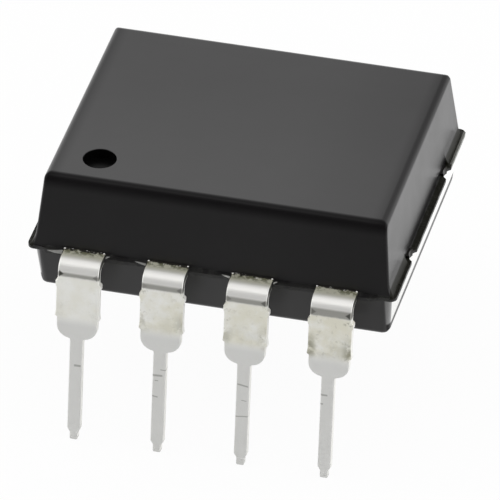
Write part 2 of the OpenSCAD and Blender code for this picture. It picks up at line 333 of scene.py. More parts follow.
class Bench:
    """Short ways to add and wire the nodes of one tree."""

    def __init__(self, tree: bpy.types.NodeTree) -> None:
        """Starts on the tree that gets the nodes."""
        self.tree = tree

    def node(self, kind: str, **settings: object) -> bpy.types.Node:
        """Adds a node.

        Args:
            kind: The node's type.
            **settings: Values for the node's own properties.

        Returns:
            The node.
        """
        made = self.tree.nodes.new(kind)
        for key, value in settings.items():
            setattr(made, key, value)
        return made

    def feed(self, socket: Socket, value: object) -> None:
        """Wires a socket to another, or sets it.

        Args:
            socket: The input.
            value: An output socket, or a plain value.
        """
        if isinstance(value, bpy.types.NodeSocket):
            self.tree.links.new(value, socket)
        elif isinstance(value, tuple) and len(value) == 3 and socket.type == "RGBA":
            socket.default_value = (*value, 1)
        else:
            socket.default_value = value

    def math(self, operation: str, *values: object) -> Socket:
        """Adds a Math node.

        Args:
            operation: The node's operation.
            *values: Its inputs, sockets or numbers.

        Returns:
            Its output.
        """
        made = self.node("ShaderNodeMath", operation=operation)
        for socket, value in zip(made.inputs, values):
            self.feed(socket, value)
        return made.outputs[0]

    def times(self, *values: object) -> Socket:
        """Multiplies the values."""
        return reduce(lambda first, second: self.math("MULTIPLY", first, second), values)

    def largest(self, *values: object) -> Socket:
        """Gives the largest of the values."""
        return reduce(lambda first, second: self.math("MAXIMUM", first, second), values)

    def less(self, value: object, taken: object) -> Socket:
        """Takes one value from another."""
        return self.math("SUBTRACT", value, taken)

    def size(self, value: object) -> Socket:
        """Gives a value without its sign."""
        return self.math("ABSOLUTE", value)

    def rest(self, share: object) -> Socket:
        """Gives what is left of 1."""
        return self.less(1, share)

    def away_from(self, first: Socket, second: Socket, centre: Span) -> Socket:
        """Gives the distance from a centre in the plane of two axes."""
        squares = [self.math("POWER", self.less(at, zero), 2) for at, zero in zip((first, second), centre)]
        return self.math("SQRT", self.math("ADD", *squares))

    def ramp(self, value: object, start: object, end: object) -> Socket:
        """Rises smoothly from 0 to 1 as a value goes from start to end.

        Args:
            value: The value that is looked at.
            start: Where the result is still 0.
            end: Where the result reaches 1.

        Returns:
            The result.
        """
        made = self.node("ShaderNodeMapRange", interpolation_type="SMOOTHSTEP")
        for name, given in (("Value", value), ("From Min", start), ("From Max", end)):
            self.feed(made.inputs[name], given)
        return made.outputs[0]

    def fall(self, value: object, start: object, end: object) -> Socket:
        """Falls smoothly from 1 to 0 as a value goes from start to end."""
        return self.rest(self.ramp(value, start, end))

    def _mixed(self, kind: str, first_input: int, *values: object) -> bpy.types.Node:
        """Adds a Mix node.

        Args:
            kind: What it mixes.
            first_input: Number of the input for the first of the two.
            *values: The share of the second, the first and the second.

        Returns:
            The node.
        """
        made = self.node("ShaderNodeMix", data_type=kind)
        for number, value in zip((0, first_input, first_input + 1), values):
            self.feed(made.inputs[number], value)
        return made

    def mix(self, share: object, first: object, second: object) -> Socket:
        """Mixes two numbers, with a share of the second."""
        return self._mixed("FLOAT", 2, share, first, second).outputs[0]

    def blend(self, share: object, first: object, second: object) -> Socket:
        """Mixes two colours, with a share of the second."""
        return self._mixed("RGBA", 6, share, first, second).outputs[2]

    def noise(self, place: Socket, grain: Grain) -> Socket:
        """Adds a noise.

        Args:
            place: Where it is read.
            grain: Its fineness.

        Returns:
            Its value, about 0.5 on average.
        """
        made = self.node("ShaderNodeTexNoise")
        self.feed(made.inputs["Vector"], place)
        self.feed(made.inputs["Scale"], grain.scale)
        made.inputs["Detail"].default_value = grain.detail
        made.inputs["Roughness"].default_value = grain.rough
        return made.outputs["Fac"]

    def place(self, turn: float = 0, shift: Sequence[float] = (0, 0, 0)) -> Socket:
        """Gives the place on the object in millimetres.

        Args:
            turn: Turn about Z, in degrees.
            shift: What is added after the turn, in millimetres.

        Returns:
            The place as a vector.
        """
        source = self.node("ShaderNodeTexCoord").outputs["Object"]
        made = self.stretch(source, (1 / MM, 1 / MM, 1 / MM), shift)
        made.node.inputs["Rotation"].default_value = (0, 0, math.radians(turn))
        return made

    def stretch(self, place: Socket, scale: Sequence[float], shift: Sequence[float] = (0, 0, 0)) -> Socket:
        """Scales and shifts a place, for patterns with a grain.

        Args:
            place: The place.
            scale: Factors along X, Y and Z.
            shift: What is added.

        Returns:
            The changed place.
        """
        made = self.node("ShaderNodeMapping")
        self.feed(made.inputs["Vector"], place)
        made.inputs["Scale"].default_value = tuple(scale)
        made.inputs["Location"].default_value = tuple(shift)
        return made.outputs[0]

    def axes(self, place: Socket) -> Axes:
        """Splits a place.

        Args:
            place: The place, or a direction.

        Returns:
            Its three parts.
        """
        made = self.node("ShaderNodeSeparateXYZ")
        self.feed(made.inputs[0], place)
        return Axes(made.outputs[0], made.outputs[1], made.outputs[2])

    def use(self, group: bpy.types.NodeTree, **inputs: object) -> Socket:
        """Places a shared effect.

        Args:
            group: The effect's node group.
            **inputs: Values by input name.

        Returns:
            The effect's mask.
        """
        made = self.node("ShaderNodeGroup", node_tree=group)
        for key, value in inputs.items():
            self.feed(made.inputs[key], value)
        return made.outputs[0]

    def bump(self, height: Socket, distance: float, before: Socket | None = None) -> Socket:
        """Adds a Bump node.

        Args:
            height: Height of the relief, from 0 to 1.
            distance: How high 1 stands, in millimetres.
            before: A normal that it adds to.

        Returns:
            The new normal.
        """
        made = self.node("ShaderNodeBump")
        made.inputs["Distance"].default_value = distance * MM
        self.feed(made.inputs["Height"], height)
        if before is not None:
            self.feed(made.inputs["Normal"], before)
        return made.outputs[0]


class Effects:
    """Shared effects, each a node group that is built once."""

    NOISE_MIDDLE = 0.5
    EDGE_DETAIL = 3
    BLOTCH_DETAIL = 5
    BLOTCH_ROUGH = 0.62
    SCRATCH_CORE = 0.35
    SCRATCH_FULL_REACH = 0.7

    def __init__(self) -> None:
        """Builds the groups."""
        self.ragged_edge = self._ragged_edge()
        self.mottle = self._mottle()
        self.scratch = self._scratch()

    @staticmethod
    def _start(name: str, inputs: Sequence[str]) -> tuple[bpy.types.NodeTree, Bench, dict[str, Socket]]:
        """Starts a group with one output, named Mask.

        Args:
            name: The group's name.
            inputs: Names of its inputs; Place is a vector and the others are numbers.

        Returns:
            The group, a bench on it and its inputs by name.
        """
        group = bpy.data.node_groups.new(name, "ShaderNodeTree")
        for label in inputs:
            kind = "NodeSocketVector" if label == "Place" else "NodeSocketFloat"
            group.interface.new_socket(label, in_out="INPUT", socket_type=kind)
        group.interface.new_socket("Mask", in_out="OUTPUT", socket_type="NodeSocketFloat")
        bench = Bench(group)
        entry = bench.node("NodeGroupInput")
        return group, bench, {label: entry.outputs[label] for label in inputs}

    @staticmethod
    def _end(bench: Bench, value: Socket) -> None:
        """Wires a group's result to its output."""
        bench.feed(bench.node("NodeGroupOutput").inputs["Mask"], value)

    def _ragged_edge(self) -> bpy.types.NodeTree:
        """Builds a zone with an uneven edge: 0 above a level and 1 below it.

        Returns:
            The group.
        """
        names = ("Place", "Height", "Level", "Softness", "Raggedness", "Scale")
        group, bench, given = self._start("ragged_edge", names)
        uneven = bench.noise(given["Place"], Grain(given["Scale"], self.EDGE_DETAIL))
        uneven = bench.less(uneven, self.NOISE_MIDDLE)
        height = bench.math("MULTIPLY_ADD", uneven, given["Raggedness"], given["Height"])
        top = bench.math("ADD", given["Level"], given["Softness"])
        low = bench.less(given["Level"], given["Softness"])
        self._end(bench, bench.fall(height, low, top))
        return group

    def _mottle(self) -> bpy.types.NodeTree:
        """Builds blotches of uneven size.

        Returns:
            The group.
        """
        group, bench, given = self._start("mottle", ("Place", "Scale", "Threshold", "Softness"))
        value = bench.noise(given["Place"], Grain(given["Scale"], self.BLOTCH_DETAIL, self.BLOTCH_ROUGH))
        low = bench.less(given["Threshold"], given["Softness"])
        top = bench.math("ADD", given["Threshold"], given["Softness"])
        self._end(bench, bench.ramp(value, low, top))
        return group

    def _scratch(self) -> bpy.types.NodeTree:
        """Builds one short scratch across a lead.

        Returns:
            The group.
        """
        names = ("Across", "Height", "Centre", "Level", "Reach", "Slope", "Width")
        group, bench, given = self._start("scratch", names)
        offset = bench.less(given["Across"], given["Centre"])
        line = bench.math("MULTIPLY_ADD", offset, given["Slope"], given["Level"])
        away = bench.size(bench.less(given["Height"], line))
        body = bench.fall(away, bench.times(given["Width"], self.SCRATCH_CORE), given["Width"])
        full = bench.times(given["Reach"], self.SCRATCH_FULL_REACH)
        self._end(bench, bench.times(body, bench.fall(bench.size(offset), full, given["Reach"])))
        return group


@dataclass(frozen=True)
class Mottle:
    """Blotches of one finish."""

    scale: float
    threshold: float
    softness: float

    def mask(self, bench: Bench, effects: Effects, place: Socket) -> Socket:
        """Marks the blotches on the surface."""
        sizes = {"Scale": self.scale, "Threshold": self.threshold, "Softness": self.softness}
        return bench.use(effects.mottle, Place=place, **sizes)


@dataclass(frozen=True)
class RaggedEdge:
    """Uneven edge of a zone of one finish."""

    softness: float
    raggedness: float
    scale: float

    def mask(self, bench: Bench, effects: Effects, place: Socket, height: Socket, level: float) -> Socket:
        """Marks the zone where the height is below the level."""
        sizes = {"Softness": self.softness, "Raggedness": self.raggedness, "Scale": self.scale}
        return bench.use(effects.ragged_edge, Place=place, Height=height, Level=level, **sizes)


def new_material(name: str) -> tuple[bpy.types.Material, Bench, bpy.types.Node]:
    """Starts a material with one Principled shader.

    Args:
        name: The material's name.

    Returns:
        The material, a bench on its tree and the shader.
    """
    material = bpy.data.materials.new(name)
    material.use_nodes = True
    tree = material.node_tree
    return material, Bench(tree), tree.nodes["Principled BSDF"]


class ResinZones(NamedTuple):
    """Masks of the body's zones."""

    torn: Socket
    flared: Socket
    tab_highlight: Socket
    shaded_dimple: Socket
    coated: Socket
    dulled: Socket


@dataclass(frozen=True)
class ResinFinish:
    """Black moulding resin with a satin skin.

    A name that ends in reach is a span along X from the drafted end face, and one that ends in drop is a
    span of heights from the top face.
    """

    parting_z: float
    half_length: float
    top: float
    dimple: tuple[float, float, float]

    skin: Colour = (0.0066, 0.0060, 0.0065)
    skin_shades: Span = (0.85, 1.15)
    skin_clouds: Grain = Grain(0.45, 3)
    torn: Colour = (0.011, 0.011, 0.009)
    torn_spots: Mottle = Mottle(2.2, 0.52, 0.12)
    torn_half: Span = (0.07, 0.12)
    # Painted shade inside the index dimple.
    shaded_dimple: Colour = (0.002, 0.002, 0.002)

    draft_slope: float = 0.096
    flared: Colour = (0.012, 0.012, 0.008)
    flare_reach: Span = (0.012, 0.030)
    flare_height: Span = (0.0, 0.05)
    # Painted highlight on the outer rim of the ledge at +X, past the notch at +Y.
    tab_highlight: Colour = (0.17, 0.17, 0.155)
    tab_reach: Span = (0.13, 0.16)
    tab_y: Span = (2.60, 2.65)
    right_half: Span = (0.0, 0.1)

    rim_of_dimple: Span = (0.002, 0.012)
    dimple_mouth_drop: Span = (-0.03, -0.01)
    dimple_floor_drop: Span = (-0.40, -0.36)

    roughness: float = 0.30
    roughness_spread: float = 0.08
    roughness_clouds: Grain = Grain(1.1, 4)
    torn_roughness: float = 0.5
    refraction: float = 1.56

    level_front: float = 0.55
    level_back: float = 0.44
    level_y: Span = (-4.2, 3.0)
    level_right: float = 0.80
    level_right_start: float = 1.0
    level_edge: float = 0.20
    edge_y: Span = (3.84, 3.95)
    edge_drop: Span = (-0.50, -0.16)
    level_end_edge: float = 0.58
    end_edge_reach: Span = (-0.78, -0.29)
    end_edge_drop: Span = (-0.27, -0.12)
    level_flare: float = 0.07

    lower_height: Span = (-0.16, -0.10)
    foot_height: Span = (-1.20, -1.10)
    lower_end_reach: Span = (-0.19, -0.13)
    glare: Colour = (0.80, 0.80, 0.77)
    glare_facing: Span = (0.74, 0.85)
    coat_refraction: float = 2.1
    coat_roughness: float = 0.15

    fine_grain: Grain = Grain(28, 3, 0.6)
    fine_relief: float = 0.0008
    torn_grain: Grain = Grain(9, 4)
    torn_relief: float = 0.03
    waves: Grain = Grain(0.9, 2)
    wave_relief: float = 0.004

    def build(self, effects: Effects) -> bpy.types.Material:
        """Builds the material.

        Args:
            effects: The shared effects.

        Returns:
            The material.
        """
        material, bench, shader = new_material("moulding_resin")
        place = bench.place(shift=(0, 0, -self.parting_z))
        at = bench.axes(place)
        zones = self._zones(bench, effects, place, at)
        skin = self._skin(bench, place, zones)
        facing = bench.node("ShaderNodeLayerWeight").outputs["Facing"]
        glare = bench.times(zones.coated, bench.ramp(facing, *self.glare_facing))
        bench.feed(shader.inputs["Base Color"], bench.blend(glare, skin, self.glare))
        bench.feed(shader.inputs["Metallic"], glare)
        uneven = bench.noise(place, self.roughness_clouds)
        least = self.roughness - self.roughness_spread / 2
        uneven = bench.math("MULTIPLY_ADD", uneven, self.roughness_spread, least)
        bench.feed(shader.inputs["Roughness"], bench.mix(zones.torn, uneven, self.torn_roughness))
        level = bench.mix(zones.dulled, self._level(bench, at), self.level_flare)
        bench.feed(shader.inputs["Specular IOR Level"], level)
        bench.feed(shader.inputs["Coat Weight"], zones.coated)
        shader.inputs["IOR"].default_value = self.refraction
        shader.inputs["Coat IOR"].default_value = self.coat_refraction
        shader.inputs["Coat Roughness"].default_value = self.coat_roughness
        fine = bench.bump(bench.noise(place, self.fine_grain), self.fine_relief)
        ragged = bench.times(zones.torn, bench.noise(place, self.torn_grain))
        ragged = bench.bump(ragged, self.torn_relief, fine)
        normal = bench.bump(bench.noise(place, self.waves), self.wave_relief, ragged)
        bench.feed(shader.inputs["Normal"], normal)
        return material

    def _zones(self, bench: Bench, effects: Effects, place: Socket, at: Axes) -> ResinZones:
        """Marks the torn parting line, the flare, the painted highlight on the ledge's tab, the painted
        shade in the dimple and the lower end faces.

        Args:
            bench: The bench on the material's tree.
            effects: The shared effects.
            place: The place on the body.
            at: Its parts.

        Returns:
            The masks.
        """
        parting_line = bench.fall(bench.size(at.z), *self.torn_half)
        torn = bench.times(parting_line, self.torn_spots.mask(bench, effects, place))
        end = bench.size(at.x)
        reach = bench.math("MULTIPLY_ADD", at.z, self.draft_slope, end)
        flared = bench.ramp(reach, *moved(self.half_length, self.flare_reach))
        flared = bench.times(flared, bench.ramp(at.z, *self.flare_height))
        tab_highlight = bench.times(
            bench.ramp(at.y, *self.tab_y),
            bench.ramp(at.x, *self.right_half),
            bench.ramp(reach, *moved(self.half_length, self.tab_reach)),
        )
        shaded_dimple = self._dimple_shade(bench, at)
        below = bench.fall(at.z, *self.lower_height)
        foot = bench.fall(at.z, *self.foot_height)
        outer = bench.ramp(end, *moved(self.half_length, self.lower_end_reach))
        coated = bench.times(bench.less(below, foot), outer)
        dulled = bench.largest(flared, shaded_dimple, bench.times(foot, outer))
        return ResinZones(torn, flared, tab_highlight, shaded_dimple, coated, dulled)

    def _dimple_shade(self, bench: Bench, at: Axes) -> Socket:
        """Marks the inside of the index dimple, which is duller than the moulded skin and painted darker as
        shade.

        Args:
            bench: The bench on the material's tree.
            at: The parts of the place on the body.

        Returns:
            The mask.
        """
        x, y, radius = self.dimple
        inside = bench.fall(bench.away_from(at.x, at.y, (x, y)), *moved(radius, self.rim_of_dimple))
        sunk = bench.fall(at.z, *moved(self.top, self.dimple_mouth_drop))
        deep = bench.ramp(at.z, *moved(self.top, self.dimple_floor_drop))
        return bench.times(inside, sunk, deep)

    def _skin(self, bench: Bench, place: Socket, zones: ResinZones) -> Socket:
        """Colours the resin.

        Args:
            bench: The bench on the material's tree.
            place: The place on the body.
            zones: The masks of its zones.

        Returns:
            The colour.
        """
        shades = [tuple(part * factor for part in self.skin) for factor in self.skin_shades]
        colour = bench.blend(bench.noise(place, self.skin_clouds), *shades)
        colour = bench.blend(zones.torn, colour, self.torn)
        colour = bench.blend(zones.flared, colour, self.flared)
        # Painted highlight on the ledge's tab.
        colour = bench.blend(zones.tab_highlight, colour, self.tab_highlight)
        # Painted shade inside the dimple.
        return bench.blend(zones.shaded_dimple, colour, self.shaded_dimple)

    def _level(self, bench: Bench, at: Axes) -> Socket:
        """Sets how strongly the moulded skin shines, which falls off to the back, right and worn edges.

        Args:
            bench: The bench on the material's tree.
            at: The parts of the place on the body.

        Returns:
            The specular level.
        """
        front_edge = bench.ramp(bench.times(at.y, -1), *self.edge_y)
        front_edge = bench.times(front_edge, bench.ramp(at.z, *moved(self.top, self.edge_drop)))
        end_edge = bench.ramp(bench.size(at.x), *moved(self.half_length, self.end_edge_reach))
        end_edge = bench.times(end_edge, bench.ramp(at.z, *moved(self.top, self.end_edge_drop)))
        to_right = bench.ramp(at.x, self.level_right_start, self.half_length)
        return bench.times(
            bench.mix(bench.ramp(at.y, *self.level_y), self.level_front, self.level_back),
            bench.mix(to_right, 1.0, self.level_right),
            bench.mix(front_edge, 1.0, self.level_edge),
            bench.mix(end_edge, 1.0, self.level_end_edge),
        )


@dataclass(frozen=True)
class Scratch:
    """One dark scratch across a pin, in millimetres from the lead's middle and the parting plane."""

    level: float
    centre: float = 0.0
    reach: float = 0.14
    slope: float = 0.0
    width: float = 0.03


@dataclass(frozen=True)
class LeadWear:
    """How one lead has worn, with the size of its painted dark reflection band and the strength of the
    painted shade in its bend's corners. The lower end of its polish is a height and its wet tip stands on
    the floor.
    """

    seed: float
    polish_end: float = -0.34
    stain: float = 0.5
    yellow: float = 0.8
    grime: float = 0.4
    band_half: float = 0.11
    fold_shades: tuple[float, float] = (0.7, 0.7)
    wet_tip: float = 0.08
    scratches: tuple[Scratch, ...] = ()


LEAD_WEAR = {
    1: LeadWear(
        seed=1.0, polish_end=-0.345, band_half=0.10, fold_shades=(1.0, 0.5), wet_tip=0.10,
        stain=0.18, yellow=0.40, grime=0.1,
        scratches=(Scratch(-3.21, 0.06, 0.12, 0.02, 0.05),),
    ),
    2: LeadWear(
        seed=2.3, polish_end=-0.34, band_half=0.12, fold_shades=(0.2, 0.5), wet_tip=0.10,
        stain=0.50, yellow=0.9, grime=0.5,
        scratches=(
            Scratch(-3.13, -0.05, 0.18, 0.06, 0.045),
            Scratch(-2.93, 0.12, 0.10, -0.05, 0.022),
            Scratch(-3.30, -0.07, 0.06, 0.0, 0.022),
            Scratch(-3.83, -0.10, 0.10, -0.12, 0.030),
        ),
    ),
    3: LeadWear(
        seed=3.1, polish_end=-0.35, band_half=0.12, fold_shades=(0.4, 0.7), wet_tip=0.25,
        stain=0.55, yellow=0.9, grime=0.5,
        scratches=(
            Scratch(-3.03, 0.0, 0.19, -0.15, 0.035),
            Scratch(-3.53, 0.05, 0.09, -0.10, 0.018),
            Scratch(-4.06, 0.0, 0.22, 0.12, 0.026),
        ),
    ),
    4: LeadWear(
        seed=4.8, polish_end=-0.37, band_half=0.16, fold_shades=(0.6, 0.9), wet_tip=0.12,
        stain=1.0, yellow=1.0, grime=1.0,
        scratches=(Scratch(-2.94, -0.10, 0.13, 0.0, 0.040), Scratch(-3.24, -0.16, 0.06, 0.10, 0.035)),
    ),
    5: LeadWear(seed=5.2, polish_end=-0.34, stain=0.5, scratches=(Scratch(-3.1, 0.05, 0.12, 0.04),)),
    6: LeadWear(seed=6.6, polish_end=-0.33, stain=0.4),
    7: LeadWear(seed=7.9, polish_end=-0.36, stain=0.7, scratches=(Scratch(-2.8, -0.06, 0.1, -0.08),)),
    8: LeadWear(seed=8.4, polish_end=-0.35, stain=0.6),
}


class LeadPlace(NamedTuple):
    """Where a point of a lead is, and which zones of the lead it is in."""

    at: Axes
    own: Socket
    aside: Socket
    matte: Socket
    flat: Socket
    lower: Socket
    cut: Socket


@dataclass(frozen=True)
class TinFinish:
    """Tin plating: stained at the body, polished round the bend, frosted on the shoulder, dull on the pin.
    Painted shade darkens the pin, the bend's corners and parts of the cut sides, and a painted dark
    reflection band crosses the lower end of the polish.

    A name that ends in y is a span of places along Y on a lead of the row at -Y, one that ends in height is
    a span of heights, and one that ends in side is a span of distances from the lead's middle.
    """

    parting_z: float
    seed_shift: tuple[float, float, float] = (3.7, 1.9, 1.0)

    polished: Colour = (0.91, 0.90, 0.87)
    polish_edge: RaggedEdge = RaggedEdge(0.045, 0.09, 6.0)
    # Painted dark reflection band across the bend, at the lower end of the polish.
    dark_reflection_band: Colour = (0.42, 0.415, 0.385)
    band_rise: float = 0.75
    band_fade: float = 0.08

    frosted: Colour = (0.93, 0.93, 0.89)
    yellowed: Colour = (0.81, 0.79, 0.67)
    yellow_patches: Mottle = Mottle(1.5, 0.47, 0.18)
    stain: Colour = (0.30, 0.29, 0.22)
    stain_spots: Mottle = Mottle(5.5, 0.62, 0.07)
    stain_side: Span = (0.30, 0.62)
    stain_middle: float = 0.25
    grime: Colour = (0.33, 0.32, 0.24)
    grime_patches: Mottle = Mottle(2.4, 0.48, 0.10)
    grime_height: Span = (-1.45, -0.80)
    # The pin is painted darker than the shoulder, as shade low on the lead.
    pin: Colour = (0.73, 0.73, 0.71)
    pin_shade_height: Span = (-1.95, -1.55)
    pin_gloss_height: Span = (-2.40, -2.28)

    flat: Colour = (0.74, 0.73, 0.60)
    flat_y: Span = (-5.04, -4.76)
    olive: Colour = (0.24, 0.24, 0.15)
    olive_smears: Mottle = Mottle(5.0, 0.50, 0.08)
    olive_y: Span = (-4.86, -4.62)
    bleed: Colour = (0.030, 0.028, 0.022)
    bleed_edge: RaggedEdge = RaggedEdge(0.03, 0.34, 7.0)
    bleed_reach: float = 4.575
    tin_specks: Mottle = Mottle(9.0, 0.64, 0.03)
    speck_y: Span = (-4.72, -4.62)
    bead_height: Span = (0.140, 0.150)

    # Colour of the painted shade in the bend's corners and on the cut sides.
    shadow: Colour = (0.06, 0.06, 0.05)
    # Painted shade in the corners at both sides of the bend.
    fold_level: float = -0.25
    fold_side: float = 0.58
    fold_slope: float = 0.7
    fold_fade: Span = (0.07, 0.13)
    fold_start_side: Span = (0.375, 0.475)
    fold_rim_side: Span = (0.570, 0.590)
    fold_swap: Span = (-0.1, 0.1)

    cut_facing: Span = (0.75, 0.92)
    bend_axis: Span = (-4.877, -0.277)
    bend_outer: Span = (0.24, 0.30)
    bend_shade_height: Span = (-0.40, -0.28)
    neck_shade_height: Span = (-0.12, -0.04)
    scratch: Colour = (0.42, 0.42, 0.40)

    roughness_polished: float = 0.33
    roughness_frosted: float = 0.50
    roughness_pin: float = 0.40
    roughness_flat: float = 0.42
    roughness_wet: float = 0.14
    dull_polished: float = 0.62
    dull_frosted: float = 0.87
    dull_flat: float = 0.55
    dull_cut: float = 0.9
    dull_wet: float = 0.05
    wet_fade: Span = (-0.02, 0.02)

    streaks: Grain = Grain(1.0, 3)
    streak_shape: tuple[float, float, float] = (1.2, 22, 22)
    streak_relief: float = 0.004
    frost: Grain = Grain(24, 4, 0.65)
    frost_relief: float = 0.007
    lumps: Grain = Grain(3.0, 2)
    lump_relief: float = 0.02

    def build(self, number: int, row_x: float, turned: bool, effects: Effects) -> bpy.types.Material:
        """Builds the material of one lead.

        Args:
            number: The lead's number.
            row_x: The lead's place along its row.
            turned: Whether the lead is in the row at +Y.
            effects: The shared effects.

        Returns:
            The material.
        """
        wear = LEAD_WEAR[number]
        material, bench, shader = new_material(f"tin_plate_{number}")
        place = bench.place(180 if turned else 0, (-row_x, 0, -self.parting_z))
        spot = self._spot(bench, effects, wear, place)
        # Painted dark reflection band at the lower end of the polish.
        band_level = wear.polish_end + self.band_rise * wear.band_half
        dark_reflection_band = bench.size(bench.less(spot.at.z, band_level))
        dark_reflection_band = bench.fall(dark_reflection_band, wear.band_half - self.band_fade, wear.band_half)
        polished = bench.blend(dark_reflection_band, self.polished, self.dark_reflection_band)
        colour = bench.blend(spot.matte, polished, self._shoulder(bench, effects, wear, spot))
        colour = bench.blend(spot.flat, colour, self._exit(bench, effects, spot))
        # Painted shade in the bend's corners.
        colour = bench.blend(self._fold_shade(bench, wear, spot), colour, self.shadow)
        # Painted shade on the cut side faces.
        shaded_cut_colour = bench.blend(self._shaded(bench, spot), self.frosted, self.shadow)
        colour = bench.blend(spot.cut, colour, shaded_cut_colour)
        if wear.scratches:
            colour = bench.blend(self._scratches(bench, effects, wear, spot), colour, self.scratch)
        bench.feed(shader.inputs["Base Color"], colour)
        self._set_gloss(bench, shader, wear, spot)
        drawn = bench.noise(bench.stretch(spot.own, self.streak_shape), self.streaks)
        normal = bench.bump(drawn, self.streak_relief)
        for grain, relief in ((self.frost, self.frost_relief), (self.lumps, self.lump_relief)):
            normal = bench.bump(bench.times(bench.noise(spot.own, grain), spot.matte), relief, normal)
        bench.feed(shader.inputs["Normal"], normal)
        return material

    def _spot(self, bench: Bench, effects: Effects, wear: LeadWear, place: Socket) -> LeadPlace:
        """Finds where a point of the lead is.

        Args:
            bench: The bench on the material's tree.
            effects: The shared effects.
            wear: How the lead has worn.
            place: The place, as on the lead at the middle of the row at -Y.

        Returns:
            The place and its zones.
        """
        at = bench.axes(place)
        own = bench.stretch(place, (1, 1, 1), tuple(wear.seed * factor for factor in self.seed_shift))
        sideways = bench.axes(bench.node("ShaderNodeTexCoord").outputs["Normal"]).x
        return LeadPlace(
            at=at,
            own=own,
            aside=bench.size(at.x),
            matte=self.polish_edge.mask(bench, effects, own, at.z, wear.polish_end),
            flat=bench.ramp(at.y, *self.flat_y),
            lower=bench.fall(at.z, *self.pin_shade_height),
            cut=bench.ramp(bench.size(sideways), *self.cut_facing),
        )

    def _shoulder(self, bench: Bench, effects: Effects, wear: LeadWear, spot: LeadPlace) -> Socket:
        """Colours the frosted shoulder, and the pin, which is painted darker as shade.

        Args:
            bench: The bench on the material's tree.
            effects: The shared effects.
            wear: How the lead has worn.
            spot: The place on the lead.

        Returns:
            The colour.
        """
        upper = bench.rest(spot.lower)
        edges = bench.ramp(spot.aside, *self.stain_side)
        amount = bench.math("MULTIPLY_ADD", edges, 1 - self.stain_middle, self.stain_middle)
        patches = self.yellow_patches.mask(bench, effects, spot.own)
        colour = bench.blend(bench.times(patches, upper, wear.yellow), self.frosted, self.yellowed)
        spots = self.stain_spots.mask(bench, effects, spot.own)
        colour = bench.blend(bench.times(spots, amount, wear.stain, upper), colour, self.stain)
        grime = self.grime_patches.mask(bench, effects, spot.own)
        grime = bench.times(grime, bench.fall(spot.at.z, *self.grime_height), upper)
        grime = bench.times(grime, bench.times(amount, wear.grime))
        colour = bench.blend(grime, colour, self.grime)
        # Painted shade: the pin is darker than the shoulder.
        return bench.blend(spot.lower, colour, self.pin)

    def _exit(self, bench: Bench, effects: Effects, spot: LeadPlace) -> Socket:
        """Colours the flat neck where the lead leaves the body: olive smears, resin bleed and specks of tin.

        Args:
            bench: The bench on the material's tree.
            effects: The shared effects.
            spot: The place on the lead.

        Returns:
            The colour.
        """
        smears = self.olive_smears.mask(bench, effects, spot.own)
        smears = bench.times(smears, bench.ramp(spot.at.y, *self.olive_y))
        colour = bench.blend(smears, self.flat, self.olive)
        distance = bench.times(spot.at.y, -1)
        bleed = self.bleed_edge.mask(bench, effects, spot.own, distance, self.bleed_reach)
        colour = bench.blend(bleed, colour, self.bleed)
        specks = self.tin_specks.mask(bench, effects, spot.own)
        specks = bench.times(specks, bench.ramp(spot.at.y, *self.speck_y))
        colour = bench.blend(specks, colour, self.polished)
        return bench.blend(bench.ramp(spot.at.z, *self.bead_height), colour, self.polished)

    def _fold_shade(self, bench: Bench, wear: LeadWear, spot: LeadPlace) -> Socket:
        """Marks the painted shade in the dark corners at both sides of the bend.

        Args:
            bench: The bench on the material's tree.
            wear: How the lead has worn.
            spot: The place on the lead.

        Returns:
            The mask.
        """
        away = bench.size(bench.less(spot.at.z, self.fold_level))
        inwards = bench.times(bench.less(self.fold_side, spot.aside), self.fold_slope)
        fold_shade_mask = bench.fall(bench.math("ADD", away, inwards), *self.fold_fade)
        rim = bench.fall(spot.aside, *self.fold_rim_side)
        corner = bench.times(bench.ramp(spot.aside, *self.fold_start_side), rim)
        depth = bench.mix(bench.ramp(spot.at.x, *self.fold_swap), *wear.fold_shades)
        return bench.times(fold_shade_mask, corner, depth)

    def _shaded(self, bench: Bench, spot: LeadPlace) -> Socket:
        """Marks where painted shade darkens the cut side faces: the neck and the outside of the bend.

        Args:
            bench: The bench on the material's tree.
            spot: The place on the lead.

        Returns:
            The mask.
        """
        from_axis = bench.away_from(spot.at.y, spot.at.z, self.bend_axis)
        bend = bench.ramp(spot.at.z, *self.bend_shade_height)
        bend = bench.times(bend, bench.ramp(from_axis, *self.bend_outer))
        return bench.largest(bend, bench.ramp(spot.at.z, *self.neck_shade_height))

    @staticmethod
    def _scratches(bench: Bench, effects: Effects, wear: LeadWear, spot: LeadPlace) -> Socket:
        """Marks the scratches on the pin.

        Args:
            bench: The bench on the material's tree.
            effects: The shared effects.
            wear: How the lead has worn.
            spot: The place on the lead.

        Returns:
            The mask.
        """
        marks = []
        for line in wear.scratches:
            sizes = {"Centre": line.centre, "Level": line.level, "Reach": line.reach}
            sizes |= {"Slope": line.slope, "Width": line.width}
            marks.append(bench.use(effects.scratch, Across=spot.at.x, Height=spot.at.z, **sizes))
        return bench.largest(0.0, *marks)

    def _set_gloss(self, bench: Bench, shader: bpy.types.Node, wear: LeadWear, spot: LeadPlace) -> None:
        """Sets roughness and metal, which differ from zone to zone.

        Args:
            bench: The bench on the material's tree.
            shader: The material's shader.
            wear: How the lead has worn.
            spot: The place on the lead.
        """
        wet_top = wear.wet_tip - self.parting_z
        wet = bench.fall(spot.at.z, *moved(wet_top, self.wet_fade))
        pin = bench.fall(spot.at.z, *self.pin_gloss_height)
        rough = bench.mix(spot.matte, self.roughness_polished, self.roughness_frosted)
        zones = ((pin, self.roughness_pin), (spot.flat, self.roughness_flat), (wet, self.roughness_wet))
        for zone, value in zones:
            rough = bench.mix(zone, rough, value)
        bench.feed(shader.inputs["Roughness"], rough)
        dull = bench.mix(spot.matte, self.dull_polished, self.dull_frosted)
        for zone, value in ((spot.flat, self.dull_flat), (spot.cut, self.dull_cut), (wet, self.dull_wet)):
            dull = bench.mix(zone, dull, value)
        bench.feed(shader.inputs["Metallic"], bench.rest(dull))


